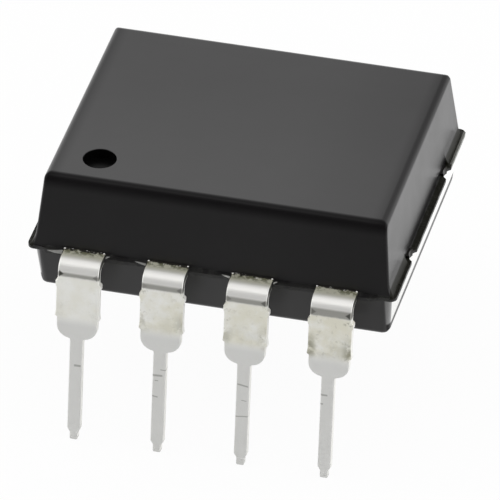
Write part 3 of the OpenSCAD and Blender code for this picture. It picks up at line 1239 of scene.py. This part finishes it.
@dataclass(frozen=True)
class FineFinish:
    """Finish of a small piece: a metal, film, crystal or sliver of resin with a fine grain.

    Beyond shade_x the piece is painted dark, as shade on the tie bars' ends in the notches at the body's
    ends.
    """

    name: str
    first: Colour
    second: Colour
    metallic: float
    roughness: float
    grain: float
    # Painted shade on the tie bars' ends in the notches.
    shade_x: float | None = None
    shade_fade: float = 0.02
    shaded_cut_colour: Colour = (0.022, 0.020, 0.018)
    clouds: Mottle = Mottle(1.4, 0.5, 0.2)
    roughness_spread: float = 0.12
    roughness_clouds: Grain = Grain(6, 3)
    grain_detail: float = 3
    grain_relief: float = 0.002

    def build(self, effects: Effects) -> bpy.types.Material:
        """Builds the material.

        Args:
            effects: The shared effects.

        Returns:
            The material.
        """
        material, bench, shader = new_material(self.name)
        place = bench.place()
        colour = bench.blend(self.clouds.mask(bench, effects, place), self.first, self.second)
        # Painted shade on the tie bars' ends.
        if self.shade_x is not None:
            end = bench.size(bench.axes(place).x)
            cut = bench.ramp(end, self.shade_x, self.shade_x + self.shade_fade)
            colour = bench.blend(cut, colour, self.shaded_cut_colour)
        bench.feed(shader.inputs["Base Color"], colour)
        shader.inputs["Metallic"].default_value = self.metallic
        uneven = bench.noise(place, self.roughness_clouds)
        least = self.roughness - self.roughness_spread / 2
        uneven = bench.math("MULTIPLY_ADD", uneven, self.roughness_spread, least)
        bench.feed(shader.inputs["Roughness"], uneven)
        grain = bench.noise(place, Grain(self.grain, self.grain_detail))
        bench.feed(shader.inputs["Normal"], bench.bump(grain, self.grain_relief))
        return material


@dataclass(frozen=True)
class Half:
    """Sizes of one half of the moulding: drafts in degrees, steps outwards and roundings of its edges."""

    height: float
    end_draft: float
    side_draft: float
    end_step: float
    side_step: float
    edge_offset: float
    corner_offset: float


@dataclass
class MouldedBody:
    """The resin body: two drafted halves, the parting ledge with its notches, dimple and marks."""

    parting_z: float
    lead_places: Sequence[float]
    ledge_end_x: float
    length: float = 10.75
    width: float = 9.0
    upper: Half = Half(2.36, 5.5, 11.0, 0, 0, 0.20, 0.09)
    lower: Half = Half(-1.54, 4.5, 11.0, 0.03, -0.03, 0.18, 0.27)
    half_segments: int = 8
    ledge_thickness: float = 0.13
    side_ledge: float = 0.15
    ledge_corner: float = 0.2
    ledge_segments: int = 6
    ledge_corner_start: float = 5.15
    ledge_corner_y: float = 4.53
    ledge_side_y: float = 4.0
    ledge_rounding: float = 0.014
    ledge_sharp_angle: float = math.radians(60)
    rim_half: float = 0.64
    rim_reach: Span = (0.05, -0.01)
    notch_radius: float = 0.42
    notch_depth: float = 0.16
    notch_y: float = 2.19
    flare_height: float = 0.5
    flare_reach: float = 0.15
    flare_steps: int = 8
    flare_spread: float = 1.4
    flare_stop: float = 4.25
    flare_depth: float = 0.3
    flare_near: float = 0.004
    gate_width: float = 1.3
    gate_height: float = 0.3
    gate_length: float = 0.4
    gate_hollow: float = 0.05
    gate_cuts: int = 5
    dimple_radius: float = 0.5
    dimple_depth: float = 0.3
    dimple_inset: float = 1.12
    dimple_shift: float = 0.04
    dimple_rounding: float = 0.018
    ejector_radius: float = 0.8
    ejector_depth: float = 0.05
    ejector_spacing: float = 6.0
    lip_drop: float = 0.2
    lip_depth: float = 0.2
    lip_gap: float = 0.06
    lip_margins: Span = (0.012, 0.05)
    lip_taper: float = 0.93
    lip_set_back: float = 0.03
    lip_rounding: float = 0.03
    overlap: float = 0.02
    round_sides: int = 72
    dimple_sides: int = 96

    def build(self) -> bpy.types.Object:
        """Builds the body.

        Returns:
            The body, in millimetres.
        """
        body = self._half(self.upper)
        self._flare_ends(body)
        for part in (self._half(self.lower), self._ledge(), self._lip(), self._gate_scar()):
            combine(body, part, Join.ADD)
        self._press_dimple(body)
        self._press_ejector_marks(body)
        place_piece(body, (0, 0, self.parting_z))
        return body

    @property
    def dimple_centre(self) -> Vector:
        """Middle of the index dimple in the top face."""
        top_half_width = self.width / 2 - self.upper.height * math.tan(math.radians(self.upper.side_draft))
        x = self.lead_places[0] + self.dimple_shift
        return Vector((x, self.dimple_inset - top_half_width, self.upper.height))

    def _half(self, shape: Half) -> bpy.types.Object:
        """Builds one half.

        Args:
            shape: Its sizes.

        Returns:
            The half, which reaches a little past the parting plane.
        """
        length = self.length + 2 * shape.end_step
        width = self.width + 2 * shape.side_step
        low, high = sorted((-math.copysign(self.overlap, shape.height), shape.height))
        half = box_piece((-length / 2, -width / 2, low), (length / 2, width / 2, high))
        edit(half)
        pick(half, Part.VERTS, lambda co, _: abs(co.z - shape.height) < NEAR)
        far = [
            1 - 2 * abs(shape.height) * math.tan(math.radians(draft)) / size
            for draft, size in ((shape.end_draft, length), (shape.side_draft, width))
        ]
        bpy.ops.transform.resize(value=(*far, 1), center_override=(0, 0, shape.height))
        widest = max(shape.edge_offset, shape.corner_offset)
        pick(half, Part.EDGES, lambda mid, _: abs(mid.z - shape.height) < NEAR)
        bpy.ops.transform.edge_bevelweight(value=shape.edge_offset / widest)
        pick(half, Part.EDGES, lambda _, way: abs(way.z) > FACING)
        bpy.ops.transform.edge_bevelweight(value=shape.corner_offset / widest)
        close_edit()
        shape_with(
            half, "BEVEL",
            limit_method="WEIGHT", width=widest, segments=self.half_segments, use_clamp_overlap=False,
        )
        return half

    def _flare_reach_at(self, height: float) -> float:
        """Gives how far the hollow flare stands out from the drafted end face.

        Args:
            height: Height above the parting plane.

        Returns:
            The distance along X.
        """
        draft = math.radians(self.upper.end_draft)
        face = Vector((math.cos(draft), math.sin(draft)))
        top = Vector((-self.flare_height * math.tan(draft), self.flare_height))
        foot = Vector((self.flare_reach, 0))
        radius = (foot - top).length_squared / (2 * (foot - top).dot(face))
        centre = top + radius * face
        curve_x = centre.x - math.sqrt(radius**2 - (centre.y - height) ** 2)
        return curve_x + height * math.tan(draft)

    def _flare_ends(self, half: bpy.types.Object) -> None:
        """Draws the foot of the end faces out, outside the notches.

        Args:
            half: The upper half.
        """
        outer = self.notch_y + self.notch_radius
        shares = [(step / self.flare_steps) ** self.flare_spread for step in range(1, self.flare_steps + 1)]
        heights = [self.flare_height * share for share in shares]
        edges_y = [side * outer + shift for side in BOTH_SIDES for shift in (-NEAR, NEAR)]
        edit(half)
        for height in heights:
            bisect_all((0, 0, height), Z_AXIS)
        for y in (*edges_y, self.flare_stop, self.flare_stop + 2 * NEAR):
            pick(half, Part.FACES, lambda _, normal: abs(normal.x) > FACING)
            bisect_at((0, y, 0), Y_AXIS)
        for end in BOTH_SIDES:
            for height in [-self.overlap, *heights[:-1]]:
                pick(
                    half,
                    Part.VERTS,
                    lambda co, _: abs(co.z - height) < self.flare_near
                    and (co.y < -outer or outer < co.y < self.flare_stop + NEAR)
                    and co.x * end > self.length / 2 - self.flare_depth,
                )
                reach = self._flare_reach_at(max(height, 0))
                bpy.ops.transform.translate(value=(end * reach, 0, 0))
        close_edit()

    def _ledge(self) -> bpy.types.Object:
        """Builds the ledge round the parting plane, with its punched notches and uneven rims.

        Returns:
            The ledge.
        """
        half_y = self.width / 2 + self.side_ledge
        half_z = self.ledge_thickness / 2
        ledge = box_piece((-self.ledge_end_x, -half_y, -half_z), (self.ledge_end_x, half_y, half_z))
        edit(ledge)
        pick(ledge, Part.EDGES, lambda _, way: abs(way.z) > FACING)
        bpy.ops.mesh.bevel(offset=self.ledge_corner, segments=self.ledge_segments, affect="EDGES")
        for side in BOTH_SIDES:
            for x in (self.ledge_corner_start, self.ledge_corner_start - self.ledge_corner):
                bisect_all((side * x, 0, 0), X_AXIS)
        for row in BOTH_SIDES:
            pick(
                ledge,
                Part.VERTS,
                lambda co, _: abs(co.x) > self.ledge_corner_start - NEAR and co.y * row > self.ledge_side_y,
            )
            bpy.ops.transform.translate(value=(0, row * (self.ledge_corner_y - half_y), 0))
        for place in self.lead_places[:LEADS_PER_ROW]:
            for edge in (-self.rim_half, self.rim_half):
                bisect_all((place + edge, 0, 0), X_AXIS)
        for row in BOTH_SIDES:
            for place in self.lead_places[:LEADS_PER_ROW]:
                for edge, reach in zip((self.rim_half, -self.rim_half), self.rim_reach):
                    at = row * -(place + edge)
                    pick(
                        ledge,
                        Part.VERTS,
                        lambda co, _: abs(co.x - at) < NEAR and co.y * row > half_y - NEAR,
                    )
                    bpy.ops.transform.translate(value=(0, row * reach, 0))
        close_edit()
        for end in BOTH_SIDES:
            for side in BOTH_SIDES:
                centre_x = end * (self.ledge_end_x - self.notch_depth + self.notch_radius)
                centre = (centre_x, side * self.notch_y, 0)
                punch = rod_piece(centre, self.notch_radius, PUNCH_LENGTH, self.round_sides)
                combine(ledge, punch, Join.CUT)
        shape_with(
            ledge, "BEVEL",
            limit_method="ANGLE", angle_limit=self.ledge_sharp_angle, width=self.ledge_rounding,
            segments=2, use_clamp_overlap=False,
        )
        return ledge

    def _lip(self) -> bpy.types.Object:
        """Builds the lip of resin that hangs under the ledge at +X, past the notch at +Y.

        Returns:
            The lip, narrower at its lower edge.
        """
        margin_x, margin_y = self.lip_margins
        start_y = self.notch_y + self.notch_radius + self.lip_gap
        low = (self.length / 2 - self.lip_depth, start_y, -self.lip_drop)
        high = (self.ledge_end_x - margin_x, self.ledge_corner_y - margin_y, 0)
        lip = box_piece(low, high)
        edit(lip)
        pick(lip, Part.FACES, lambda _, normal: normal.z < -FACING)
        middle = (0, (low[1] + high[1]) / 2, 0)
        bpy.ops.transform.resize(value=(1, self.lip_taper, 1), center_override=middle)
        bpy.ops.transform.translate(value=(-self.lip_set_back, 0, 0))
        bpy.ops.mesh.bevel(offset=self.lip_rounding, segments=2, affect="EDGES")
        close_edit()
        return lip

    def _gate_scar(self) -> bpy.types.Object:
        """Builds the broken-off gate on the end face at -X.

        Returns:
            The scar, with a hollow outer face.
        """
        half_y, half_z = self.gate_width / 2, self.gate_height / 2
        outer_x = -self.ledge_end_x + NEAR
        scar = box_piece((outer_x, -half_y, -half_z), (-self.ledge_end_x + self.gate_length, half_y, half_z))
        edit(scar)
        bpy.ops.mesh.select_all(action="SELECT")
        bpy.ops.mesh.subdivide(number_cuts=self.gate_cuts)
        pick(scar, Part.VERTS, lambda co, _: co.x < outer_x + NEAR and abs(co.z) < half_z - NEAR)
        bpy.ops.transform.translate(value=(self.gate_hollow, 0, 0))
        close_edit()
        return scar

    def _press_dimple(self, body: bpy.types.Object) -> None:
        """Presses the round dimple beside lead 1 and softens its rim.

        Args:
            body: The body.
        """
        centre = self.dimple_centre
        punch = rod_piece(centre, self.dimple_radius, 2 * self.dimple_depth, self.dimple_sides)
        combine(body, punch, Join.CUT)
        edit(body)
        pick(
            body,
            Part.EDGES,
            lambda mid, _: abs(mid.z - centre.z) < VERY_NEAR
            and abs((mid - centre).length - self.dimple_radius) < NEAR,
        )
        bpy.ops.mesh.bevel(offset=self.dimple_rounding, segments=3, affect="EDGES")
        close_edit()

    def _press_ejector_marks(self, body: bpy.types.Object) -> None:
        """Presses the two shallow round marks into the underside.

        Args:
            body: The body.
        """
        for side in BOTH_SIDES:
            centre = (side * self.ejector_spacing / 2, 0, self.lower.height)
            punch = rod_piece(centre, self.ejector_radius, 2 * self.ejector_depth, self.round_sides)
            combine(body, punch, Join.CUT)


@dataclass(frozen=True)
class Sliver:
    """A thin sliver of resin beside a lead.

    Its start and end are places along X from the lead's middle, out is its place along Y, bow is how far it
    bends on its way and lift is how far its point rises.
    """

    lead: int
    start: float
    end: float
    out: float
    height: float
    depth: float
    thickness: float
    bow: float
    lift: float = 0.06


@dataclass
class MouldFlash:
    """Torn slivers of resin that were squeezed out between the mould's halves, beside the leads."""

    parting_z: float
    lead_places: Sequence[float]
    columns: int = 6
    taper: float = 0.85
    taper_power: float = 1.5
    bow_up: float = 0.5
    bow_out: float = 0.6
    rounding: float = 0.004
    slivers: tuple[Sliver, ...] = (
        Sliver(2, -0.65, -0.98, -4.67, 0.070, 0.08, 0.035, 0.035),
        Sliver(3, -0.65, -0.90, -4.67, 0.065, 0.08, 0.030, 0.035),
        Sliver(1, 0.66, 0.80, -4.64, 0.075, 0.08, 0.030, 0.01),
        Sliver(3, 0.66, 0.78, -4.64, 0.075, 0.08, 0.030, 0.01),
        Sliver(1, -0.64, -1.10, -4.67, 0.080, 0.14, 0.055, -0.015, -0.01),
        Sliver(6, 0.65, 0.92, 4.67, 0.055, 0.07, 0.020, 0.03),
        Sliver(7, -0.65, -0.84, 4.65, 0.070, 0.08, 0.028, 0.01),
    )

    def build(self) -> bpy.types.Object:
        """Builds all slivers as one piece.

        Returns:
            The slivers, in millimetres.
        """
        made = [self._sliver(sliver) for sliver in self.slivers]
        take(made[0])
        for piece in made[1:]:
            piece.select_set(True)
        bpy.ops.object.join()
        flash = bpy.context.object
        place_piece(flash, (0, 0, self.parting_z))
        return flash

    def _sliver(self, sliver: Sliver) -> bpy.types.Object:
        """Builds one sliver, which runs out to a point and bows on its way.

        Args:
            sliver: Its place and size.

        Returns:
            The sliver.
        """
        middle_x = self.lead_places[sliver.lead - 1]
        start, end = middle_x + sliver.start, middle_x + sliver.end
        low_x, high_x = sorted((start, end))
        half_y, half_z = sliver.depth / 2, sliver.thickness / 2
        piece = box_piece(
            (low_x, sliver.out - half_y, sliver.height - half_z),
            (high_x, sliver.out + half_y, sliver.height + half_z),
        )
        edit(piece)
        for column in range(1, self.columns):
            bisect_all((low_x + (high_x - low_x) * column / self.columns, 0, 0), X_AXIS)
        for column in range(self.columns + 1):
            share = column / self.columns
            at = start + (end - start) * share
            pick(piece, Part.VERTS, lambda co, _: abs(co.x - at) < VERY_NEAR)
            narrow = 1 - self.taper * share**self.taper_power
            centre = (at, sliver.out, sliver.height)
            bpy.ops.transform.resize(value=(1, narrow, narrow), center_override=centre)
            bow = math.copysign(sliver.bow * math.sin(math.pi * share), sliver.bow)
            outward = math.copysign(bow, sliver.out) * self.bow_out
            upward = self.bow_up * bow + sliver.lift * share
            bpy.ops.transform.translate(value=(0, outward, upward))
        bpy.ops.mesh.select_all(action="SELECT")
        bpy.ops.mesh.bevel(offset=self.rounding, segments=1, affect="EDGES")
        close_edit()
        return piece


@dataclass
class Lead:
    """A stamped and bent lead, drawn at the middle of the row at -Y."""

    body_width: float = 9.0
    row_spacing: float = 10.24
    splay: float = math.radians(7.5)
    thickness: float = 0.254
    bend_radius: float = 0.15
    bend_steps: int = 14
    neck_width: float = 1.25
    neck_length: float = 0.24
    stub_width: float = 1.38
    stub_length: float = 0.26
    slope_length: float = 0.06
    shoulder_width: float = 1.31
    burr_width: float = 1.36
    burr_length: float = 0.2
    burr_rise: float = 0.67
    burr_step: Span = (-0.02, 0.03)
    seat_width: float = 1.23
    seat_radius: float = 0.4
    seat_drop: float = 2.35
    seat_angles: tuple[float, ...] = (0, 12, 24, 36, 48, 60, 71, 82)
    pin_length: float = 3.35
    pin_width: float = 0.4
    tip_width: float = 0.24
    tip_length: float = 0.24
    taper_length: float = 0.13
    step_length: float = 0.02
    finger_end_y: float = 2.73
    finger_width: float = 0.86
    finger_share: float = 0.35
    finger_tip_reach: float = 0.1
    hole_radius: float = 0.23
    hole_lean: float = 0.2
    hole_sides: int = 32
    rounding: float = 0.045
    sharp_angle: float = math.radians(62)

    @property
    def bend_middle_radius(self) -> float:
        """Radius of the bend on the lead's centre line."""
        return self.bend_radius + self.thickness / 2

    @property
    def bend_start_y(self) -> float:
        """Distance from the middle of the body to the start of the bend."""
        slack = 1 / math.cos(self.splay) - math.tan(self.splay)
        return self.row_spacing / 2 - self.bend_middle_radius * slack

    @property
    def knee_y(self) -> float:
        """Distance from the middle of the body to the knee of the finger."""
        half = self.body_width / 2
        return half - (half - self.finger_end_y) * self.finger_share

    @property
    def down(self) -> Vector:
        """Direction of the lead's straight part, one unit long."""
        return Vector((0, -math.sin(self.splay), -math.cos(self.splay)))

    @property
    def seat_run(self) -> float:
        """Distance along the lead from the end of the bend to the seating level."""
        bend_end = self.bend_middle_radius * (1 - math.sin(self.splay))
        return (self.seat_drop - bend_end) / math.cos(self.splay)

    @property
    def tip_run(self) -> float:
        """Distance along the lead from the end of the bend to the tip's end."""
        return self.seat_run + self.pin_length / math.cos(self.splay)

    def tip_place(self) -> Vector:
        """Gives the middle of the tip's end.

        Returns:
            The place.
        """
        start = Vector((0, -self.bend_start_y, -self.bend_middle_radius))
        turn = Vector((0, -math.cos(self.splay), math.sin(self.splay))) * self.bend_middle_radius
        return start + turn + self.down * self.tip_run

    def _levels(self) -> list[tuple[float, float]]:
        """Lists the lead's width along its straight part.

        Returns:
            Pairs of distance from the end of the bend and width.
        """
        seat, tip = self.seat_run, self.tip_run
        burr = seat - self.burr_rise
        burr_start, burr_end = moved(burr, self.burr_step)
        foot = self.seat_width / 2 - self.seat_radius
        stub_end = self.neck_length + self.stub_length
        arc = [
            (
                seat - self.seat_radius + self.seat_radius * math.sin(angle),
                2 * (foot + self.seat_radius * math.cos(angle)),
            )
            for angle in map(math.radians, self.seat_angles)
        ]
        return [
            (self.neck_length, self.neck_width),
            (self.neck_length + self.slope_length, self.stub_width),
            (stub_end - self.slope_length - self.step_length, self.stub_width),
            (stub_end, self.shoulder_width),
            (burr - self.burr_length, self.shoulder_width),
            (burr_start, self.burr_width),
            (burr_end, self.seat_width),
            *arc,
            (seat + self.step_length, self.pin_width),
            (tip - self.tip_length - self.taper_length, self.pin_width),
            (tip - self.tip_length, self.tip_width),
            (tip, self.tip_width),
        ]

    def build(self) -> bpy.types.Object:
        """Builds the lead, from its finger through the bend to its tip.

        Returns:
            The lead, in millimetres.
        """
        half_x, half_z = self.neck_width / 2, self.thickness / 2
        edge_y = -self.body_width / 2
        lead = box_piece((-half_x, -self.bend_start_y, -half_z), (half_x, edge_y, half_z))
        edit(lead)
        pick(lead, Part.FACES, lambda _, normal: normal.y > FACING)
        self._extrude((0, -self.knee_y - edge_y, 0), 1)
        self._extrude((0, self.knee_y - self.finger_end_y, 0), self.finger_width / self.neck_width)
        pick(lead, Part.FACES, lambda _, normal: normal.y < -FACING)
        bpy.ops.mesh.spin(
            steps=self.bend_steps,
            angle=math.pi / 2 - self.splay,
            center=(0, -self.bend_start_y, -self.bend_middle_radius),
            axis=(-1, 0, 0),
        )
        run, width = 0.0, self.neck_width
        for next_run, next_width in self._levels():
            self._extrude(self.down * (next_run - run), next_width / width)
            run, width = next_run, next_width
        bpy.ops.mesh.select_all(action="SELECT")
        bpy.ops.mesh.remove_doubles(threshold=MERGE_DISTANCE)
        bpy.ops.mesh.normals_make_consistent(inside=False)
        close_edit()
        shape_with(
            lead, "BEVEL",
            limit_method="ANGLE", angle_limit=self.sharp_angle, width=self.rounding,
            segments=3, use_clamp_overlap=False,
        )
        return lead

    @staticmethod
    def _extrude(shift: Sequence[float], widen: float) -> None:
        """Extrudes the selected end face by a shift and changes its width by a factor, in edit mode."""
        bpy.ops.mesh.extrude_region_move(TRANSFORM_OT_translate={"value": tuple(shift)})
        bpy.ops.transform.resize(value=(widen, 1, 1), center_override=(0, 0, 0))

    def lean_finger(self, lead: bpy.types.Object, lean: float) -> None:
        """Moves the inner end of the finger sideways and punches the finger's hole.

        Args:
            lead: The lead.
            lean: How far the end moves along X.
        """
        edit(lead)
        pick(lead, Part.VERTS, lambda co, _: co.y > -self.finger_end_y - self.finger_tip_reach)
        bpy.ops.transform.translate(value=(lean, 0, 0))
        close_edit()
        centre = (self.hole_lean * lean, -self.knee_y, 0)
        combine(lead, rod_piece(centre, self.hole_radius, PUNCH_LENGTH, self.hole_sides), Join.CUT)


@dataclass
class LeadRows:
    """All eight leads, in two rows."""

    lead: Lead
    finish: TinFinish
    places: Sequence[float]
    parting_z: float
    finger_lean: float = 0.62
    tip_bead_lead: int = 3
    tip_bead_radius: float = 0.118
    tip_bead_sink: float = 0.012
    exit_bead_radius: float = 0.036
    exit_bead_place: tuple[float, float, float] = (0.595, -4.545, 0.128)
    bead_shape: tuple[float, float, float] = (0.98, 1.0, 0.98)
    bead_segments: int = 28
    bead_rings: int = 16

    def build(self, effects: Effects) -> None:
        """Builds, places and dresses the leads.

        Args:
            effects: The shared effects.
        """
        pattern = self.lead.build()
        inner = min(abs(place) for place in self.places)
        for number, place in enumerate(self.places, start=1):
            turned = number > LEADS_PER_ROW
            row_x = -place if turned else place
            lead = copy_piece(pattern)
            outer = abs(row_x) > 2 * inner
            self.lead.lean_finger(lead, -math.copysign(self.finger_lean, row_x) if outer else 0)
            if number == self.tip_bead_lead:
                hang = Vector((0, self.tip_bead_sink, self.tip_bead_radius - self.tip_bead_sink))
                self._add_bead(lead, self.lead.tip_place() + hang, self.tip_bead_radius)
            x, y, z = self.exit_bead_place
            for side in BOTH_SIDES:
                self._add_bead(lead, Vector((side * x, y, z)), self.exit_bead_radius)
            place_piece(lead, (place, 0, self.parting_z), math.pi if turned else 0)
            material = self.finish.build(number, row_x, turned, effects)
            finish_piece(lead, f"tinned_lead_{number}", material, [f"lead_{number}"])
        bpy.data.objects.remove(pattern)

    def _add_bead(self, lead: bpy.types.Object, centre: Vector, radius: float) -> None:
        """Melts a bead of tin onto a lead.

        Args:
            lead: The lead.
            centre: Middle of the bead.
            radius: Radius of the bead.
        """
        bpy.ops.object.select_all(action="DESELECT")
        bpy.ops.mesh.primitive_uv_sphere_add(
            segments=self.bead_segments, ring_count=self.bead_rings, radius=radius, location=centre
        )
        bead = bpy.context.object
        bead.scale = self.bead_shape
        settle()
        combine(lead, bead, Join.ADD)


@dataclass(frozen=True)
class Studio:
    """Floor, soft light and camera.

    The camera's angles are in degrees and its distance and aim in millimetres. What lies above, behind and
    beside the part is given by the direction that light comes from: a span where it rises and its strength.
    """

    floor_half: float = 2.0
    floor_colour: Colour = (0.90, 0.90, 0.90)
    floor_share: float = 0.95
    floor_front: float = 0.20
    floor_back: float = 1.22
    floor_fade: Span = (-25.0, 12.0)
    dim: float = 0.14
    overhead: float = 0.80
    overhead_rise: Span = (0.45, 0.95)
    zenith: float = 0.9
    zenith_rise: Span = (0.95, 0.985)
    behind: float = 1.45
    behind_right: float = 1.0
    behind_rise: Span = (-0.10, 0.65)
    behind_swap: Span = (-0.15, 0.05)
    beside: float = 2.1
    beside_rise: Span = (0.40, 0.72)
    lamp_place: tuple[float, float, float] = (-0.08, -0.18, 0.38)
    lamp_size: float = 0.13
    lamp_power: float = 0.066
    azimuth: float = 14.11
    elevation: float = 35.12
    roll: float = 0.268
    distance: float = 270.9
    lens: float = 657.9
    sensor: float = 36.0
    clip: Span = (0.01, 20)
    aim_right: float = 0.039
    aim_up: float = -1.833

    def build(self, parting_z: float) -> None:
        """Builds the studio, with the camera's aim given from the parting plane."""
        self._floor()
        self._sky()
        self._lamp()
        self._camera(parting_z)

    def _floor(self) -> None:
        """Adds the white floor, which looks white to the camera and keeps a soft shadow."""
        bpy.ops.object.select_all(action="DESELECT")
        bpy.ops.mesh.primitive_plane_add(size=2 * self.floor_half, location=(0, 0, 0))
        floor = bpy.context.object
        floor.name = "floor"
        material = bpy.data.materials.new("white_floor")
        material.use_nodes = True
        material.node_tree.nodes.clear()
        bench = Bench(material.node_tree)
        paper = bench.node("ShaderNodeBsdfDiffuse")
        bench.feed(paper.inputs["Color"], self.floor_colour)
        fade = bench.ramp(bench.axes(bench.place()).y, *self.floor_fade)
        mirrored = bench.mix(fade, self.floor_front, self.floor_back)
        rays = bench.node("ShaderNodeLightPath").outputs
        glow = bench.node("ShaderNodeEmission")
        bench.feed(glow.inputs["Strength"], bench.mix(rays["Is Camera Ray"], mirrored, 1.0))
        seen = [rays[f"Is {kind} Ray"] for kind in ("Camera", "Glossy", "Transmission")]
        mix = bench.node("ShaderNodeMixShader")
        bench.feed(mix.inputs[0], bench.times(bench.largest(*seen), self.floor_share))
        bench.feed(mix.inputs[1], paper.outputs[0])
        bench.feed(mix.inputs[2], glow.outputs[0])
        bench.feed(bench.node("ShaderNodeOutputMaterial").inputs["Surface"], mix.outputs[0])
        floor.data.materials.append(material)

    def _sky(self) -> None:
        """Sets a soft surround: bright above, behind and beside, dim towards the front."""
        world = bpy.data.worlds.new("soft_surround")
        bpy.context.scene.world = world
        world.use_nodes = True
        world.node_tree.nodes.clear()
        bench = Bench(world.node_tree)
        way = bench.axes(bench.node("ShaderNodeTexCoord").outputs["Generated"])
        overhead = bench.times(bench.ramp(way.z, *self.overhead_rise), self.overhead)
        zenith = bench.times(bench.ramp(way.z, *self.zenith_rise), self.zenith)
        overhead = bench.math("ADD", overhead, zenith)
        behind = bench.mix(bench.ramp(way.x, *self.behind_swap), self.behind, self.behind_right)
        behind = bench.times(bench.ramp(way.y, *self.behind_rise), behind)
        beside = bench.times(bench.ramp(bench.size(way.x), *self.beside_rise), self.beside)
        glow = bench.node("ShaderNodeBackground")
        bench.feed(glow.inputs["Strength"], bench.largest(overhead, behind, beside, self.dim))
        bench.feed(bench.node("ShaderNodeOutputWorld").inputs["Surface"], glow.outputs[0])

    def _lamp(self) -> None:
        """Adds a square soft lamp in front and above, which points at the part."""
        data = bpy.data.lights.new("front_top_softbox", "AREA")
        data.shape = "SQUARE"
        data.size = self.lamp_size
        data.energy = self.lamp_power
        lamp = bpy.data.objects.new("front_top_softbox", data)
        bpy.context.scene.collection.objects.link(lamp)
        lamp.location = self.lamp_place
        lamp.rotation_euler = Vector(self.lamp_place).to_track_quat("Z", "Y").to_euler()

    def _camera(self, parting_z: float) -> None:
        """Adds the camera.

        Args:
            parting_z: Height of the parting plane.
        """
        turn, rise, lean = (math.radians(a) for a in (self.azimuth, self.elevation, self.roll))
        back = Vector((math.sin(turn) * math.cos(rise), -math.cos(turn) * math.cos(rise), math.sin(rise)))
        level = Vector((math.cos(turn), math.sin(turn), 0))
        upward = back.cross(level)
        right = math.cos(lean) * level + math.sin(lean) * upward
        over = -math.sin(lean) * level + math.cos(lean) * upward
        aim = Vector((0, 0, parting_z)) + self.aim_right * right + self.aim_up * over
        place = (aim + self.distance * back) * MM
        data = bpy.data.cameras.new("camera")
        data.lens = self.lens
        data.sensor_width = self.sensor
        data.clip_start, data.clip_end = self.clip
        camera = bpy.data.objects.new("camera", data)
        bpy.context.scene.collection.objects.link(camera)
        camera.matrix_world = Matrix.Translation(place) @ Matrix((right, over, back)).transposed().to_4x4()
        bpy.context.scene.camera = camera


def dress_inner_pieces(effects: Effects, nodes: dict[str, bpy.types.Object], shade_x: float) -> None:
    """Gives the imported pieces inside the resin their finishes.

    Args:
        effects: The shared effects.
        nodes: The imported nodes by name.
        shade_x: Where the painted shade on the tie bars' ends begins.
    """
    copper = FineFinish(
        "copper_alloy", (0.72, 0.42, 0.27), (0.62, 0.36, 0.24),
        metallic=1.0, roughness=0.34, grain=18, shade_x=shade_x,
    )
    epoxy = FineFinish(
        "silver_epoxy", (0.52, 0.52, 0.50), (0.60, 0.60, 0.57), metallic=0.35, roughness=0.62, grain=30
    )
    silicon = FineFinish(
        "silicon", (0.10, 0.11, 0.14), (0.15, 0.16, 0.20), metallic=0.6, roughness=0.18, grain=40
    )
    gold = FineFinish(
        "gold_wire", (0.86, 0.60, 0.20), (0.92, 0.68, 0.28), metallic=1.0, roughness=0.22, grain=60
    )
    finishes = {"die_paddle": copper, "die_attach": epoxy, "silicon_die": silicon}
    dressed = {name: finish.build(effects) for name, finish in finishes.items()}
    wire = gold.build(effects)
    dressed |= {f"bond_wire_{number}": wire for number in range(1, LEAD_COUNT + 1)}
    for name, material in dressed.items():
        nodes[name].data.materials.clear()
        nodes[name].data.materials.append(material)
        LOG.info("%s: %s", name, material.name)


def lead_places() -> list[float]:
    """Reads the leads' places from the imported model.

    Returns:
        Place along X of leads 1 to 8, in millimetres.
    """
    boxes = [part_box(f"lead_{n}") for n in range(1, LEAD_COUNT + 1)]
    middles = [(low.x + high.x) / 2 / MM for low, high in boxes]
    pitch = middles[2] - middles[1]
    places = [(n - (LEADS_PER_ROW - 1) / 2) * pitch for n in range(LEADS_PER_ROW)]
    return places + places[::-1]


def main() -> None:
    """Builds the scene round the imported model."""
    logging.basicConfig(level=logging.INFO, format="%(name)s: %(message)s")
    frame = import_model()
    bpy.context.scene.view_settings.view_transform = "Standard"

    _, body_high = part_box("body")
    places = lead_places()
    upper_height = MouldedBody.upper.height
    parting_z = body_high.z / MM - upper_height

    effects = Effects()
    Studio().build(parting_z)

    moulding = MouldedBody(parting_z, places, body_high.x / MM)
    half_length = moulding.length / 2
    dimple = (*moulding.dimple_centre.xy, moulding.dimple_radius)
    resin = ResinFinish(parting_z, half_length, upper_height, dimple).build(effects)
    finish_piece(moulding.build(), "resin_body", resin, ["body"])
    torn = FineFinish(
        "resin_flash", (0.46, 0.46, 0.44), (0.24, 0.24, 0.23), metallic=0.0, roughness=0.42, grain=30
    )
    flash = MouldFlash(parting_z, places).build()
    finish_piece(flash, "mould_flash", torn.build(effects))
    LeadRows(Lead(), TinFinish(parting_z), places, parting_z).build(effects)
    dress_inner_pieces(effects, frame["nodes"], half_length - TIE_BAR_SHADE_DEPTH)


if __name__ == "__main__":
    main()
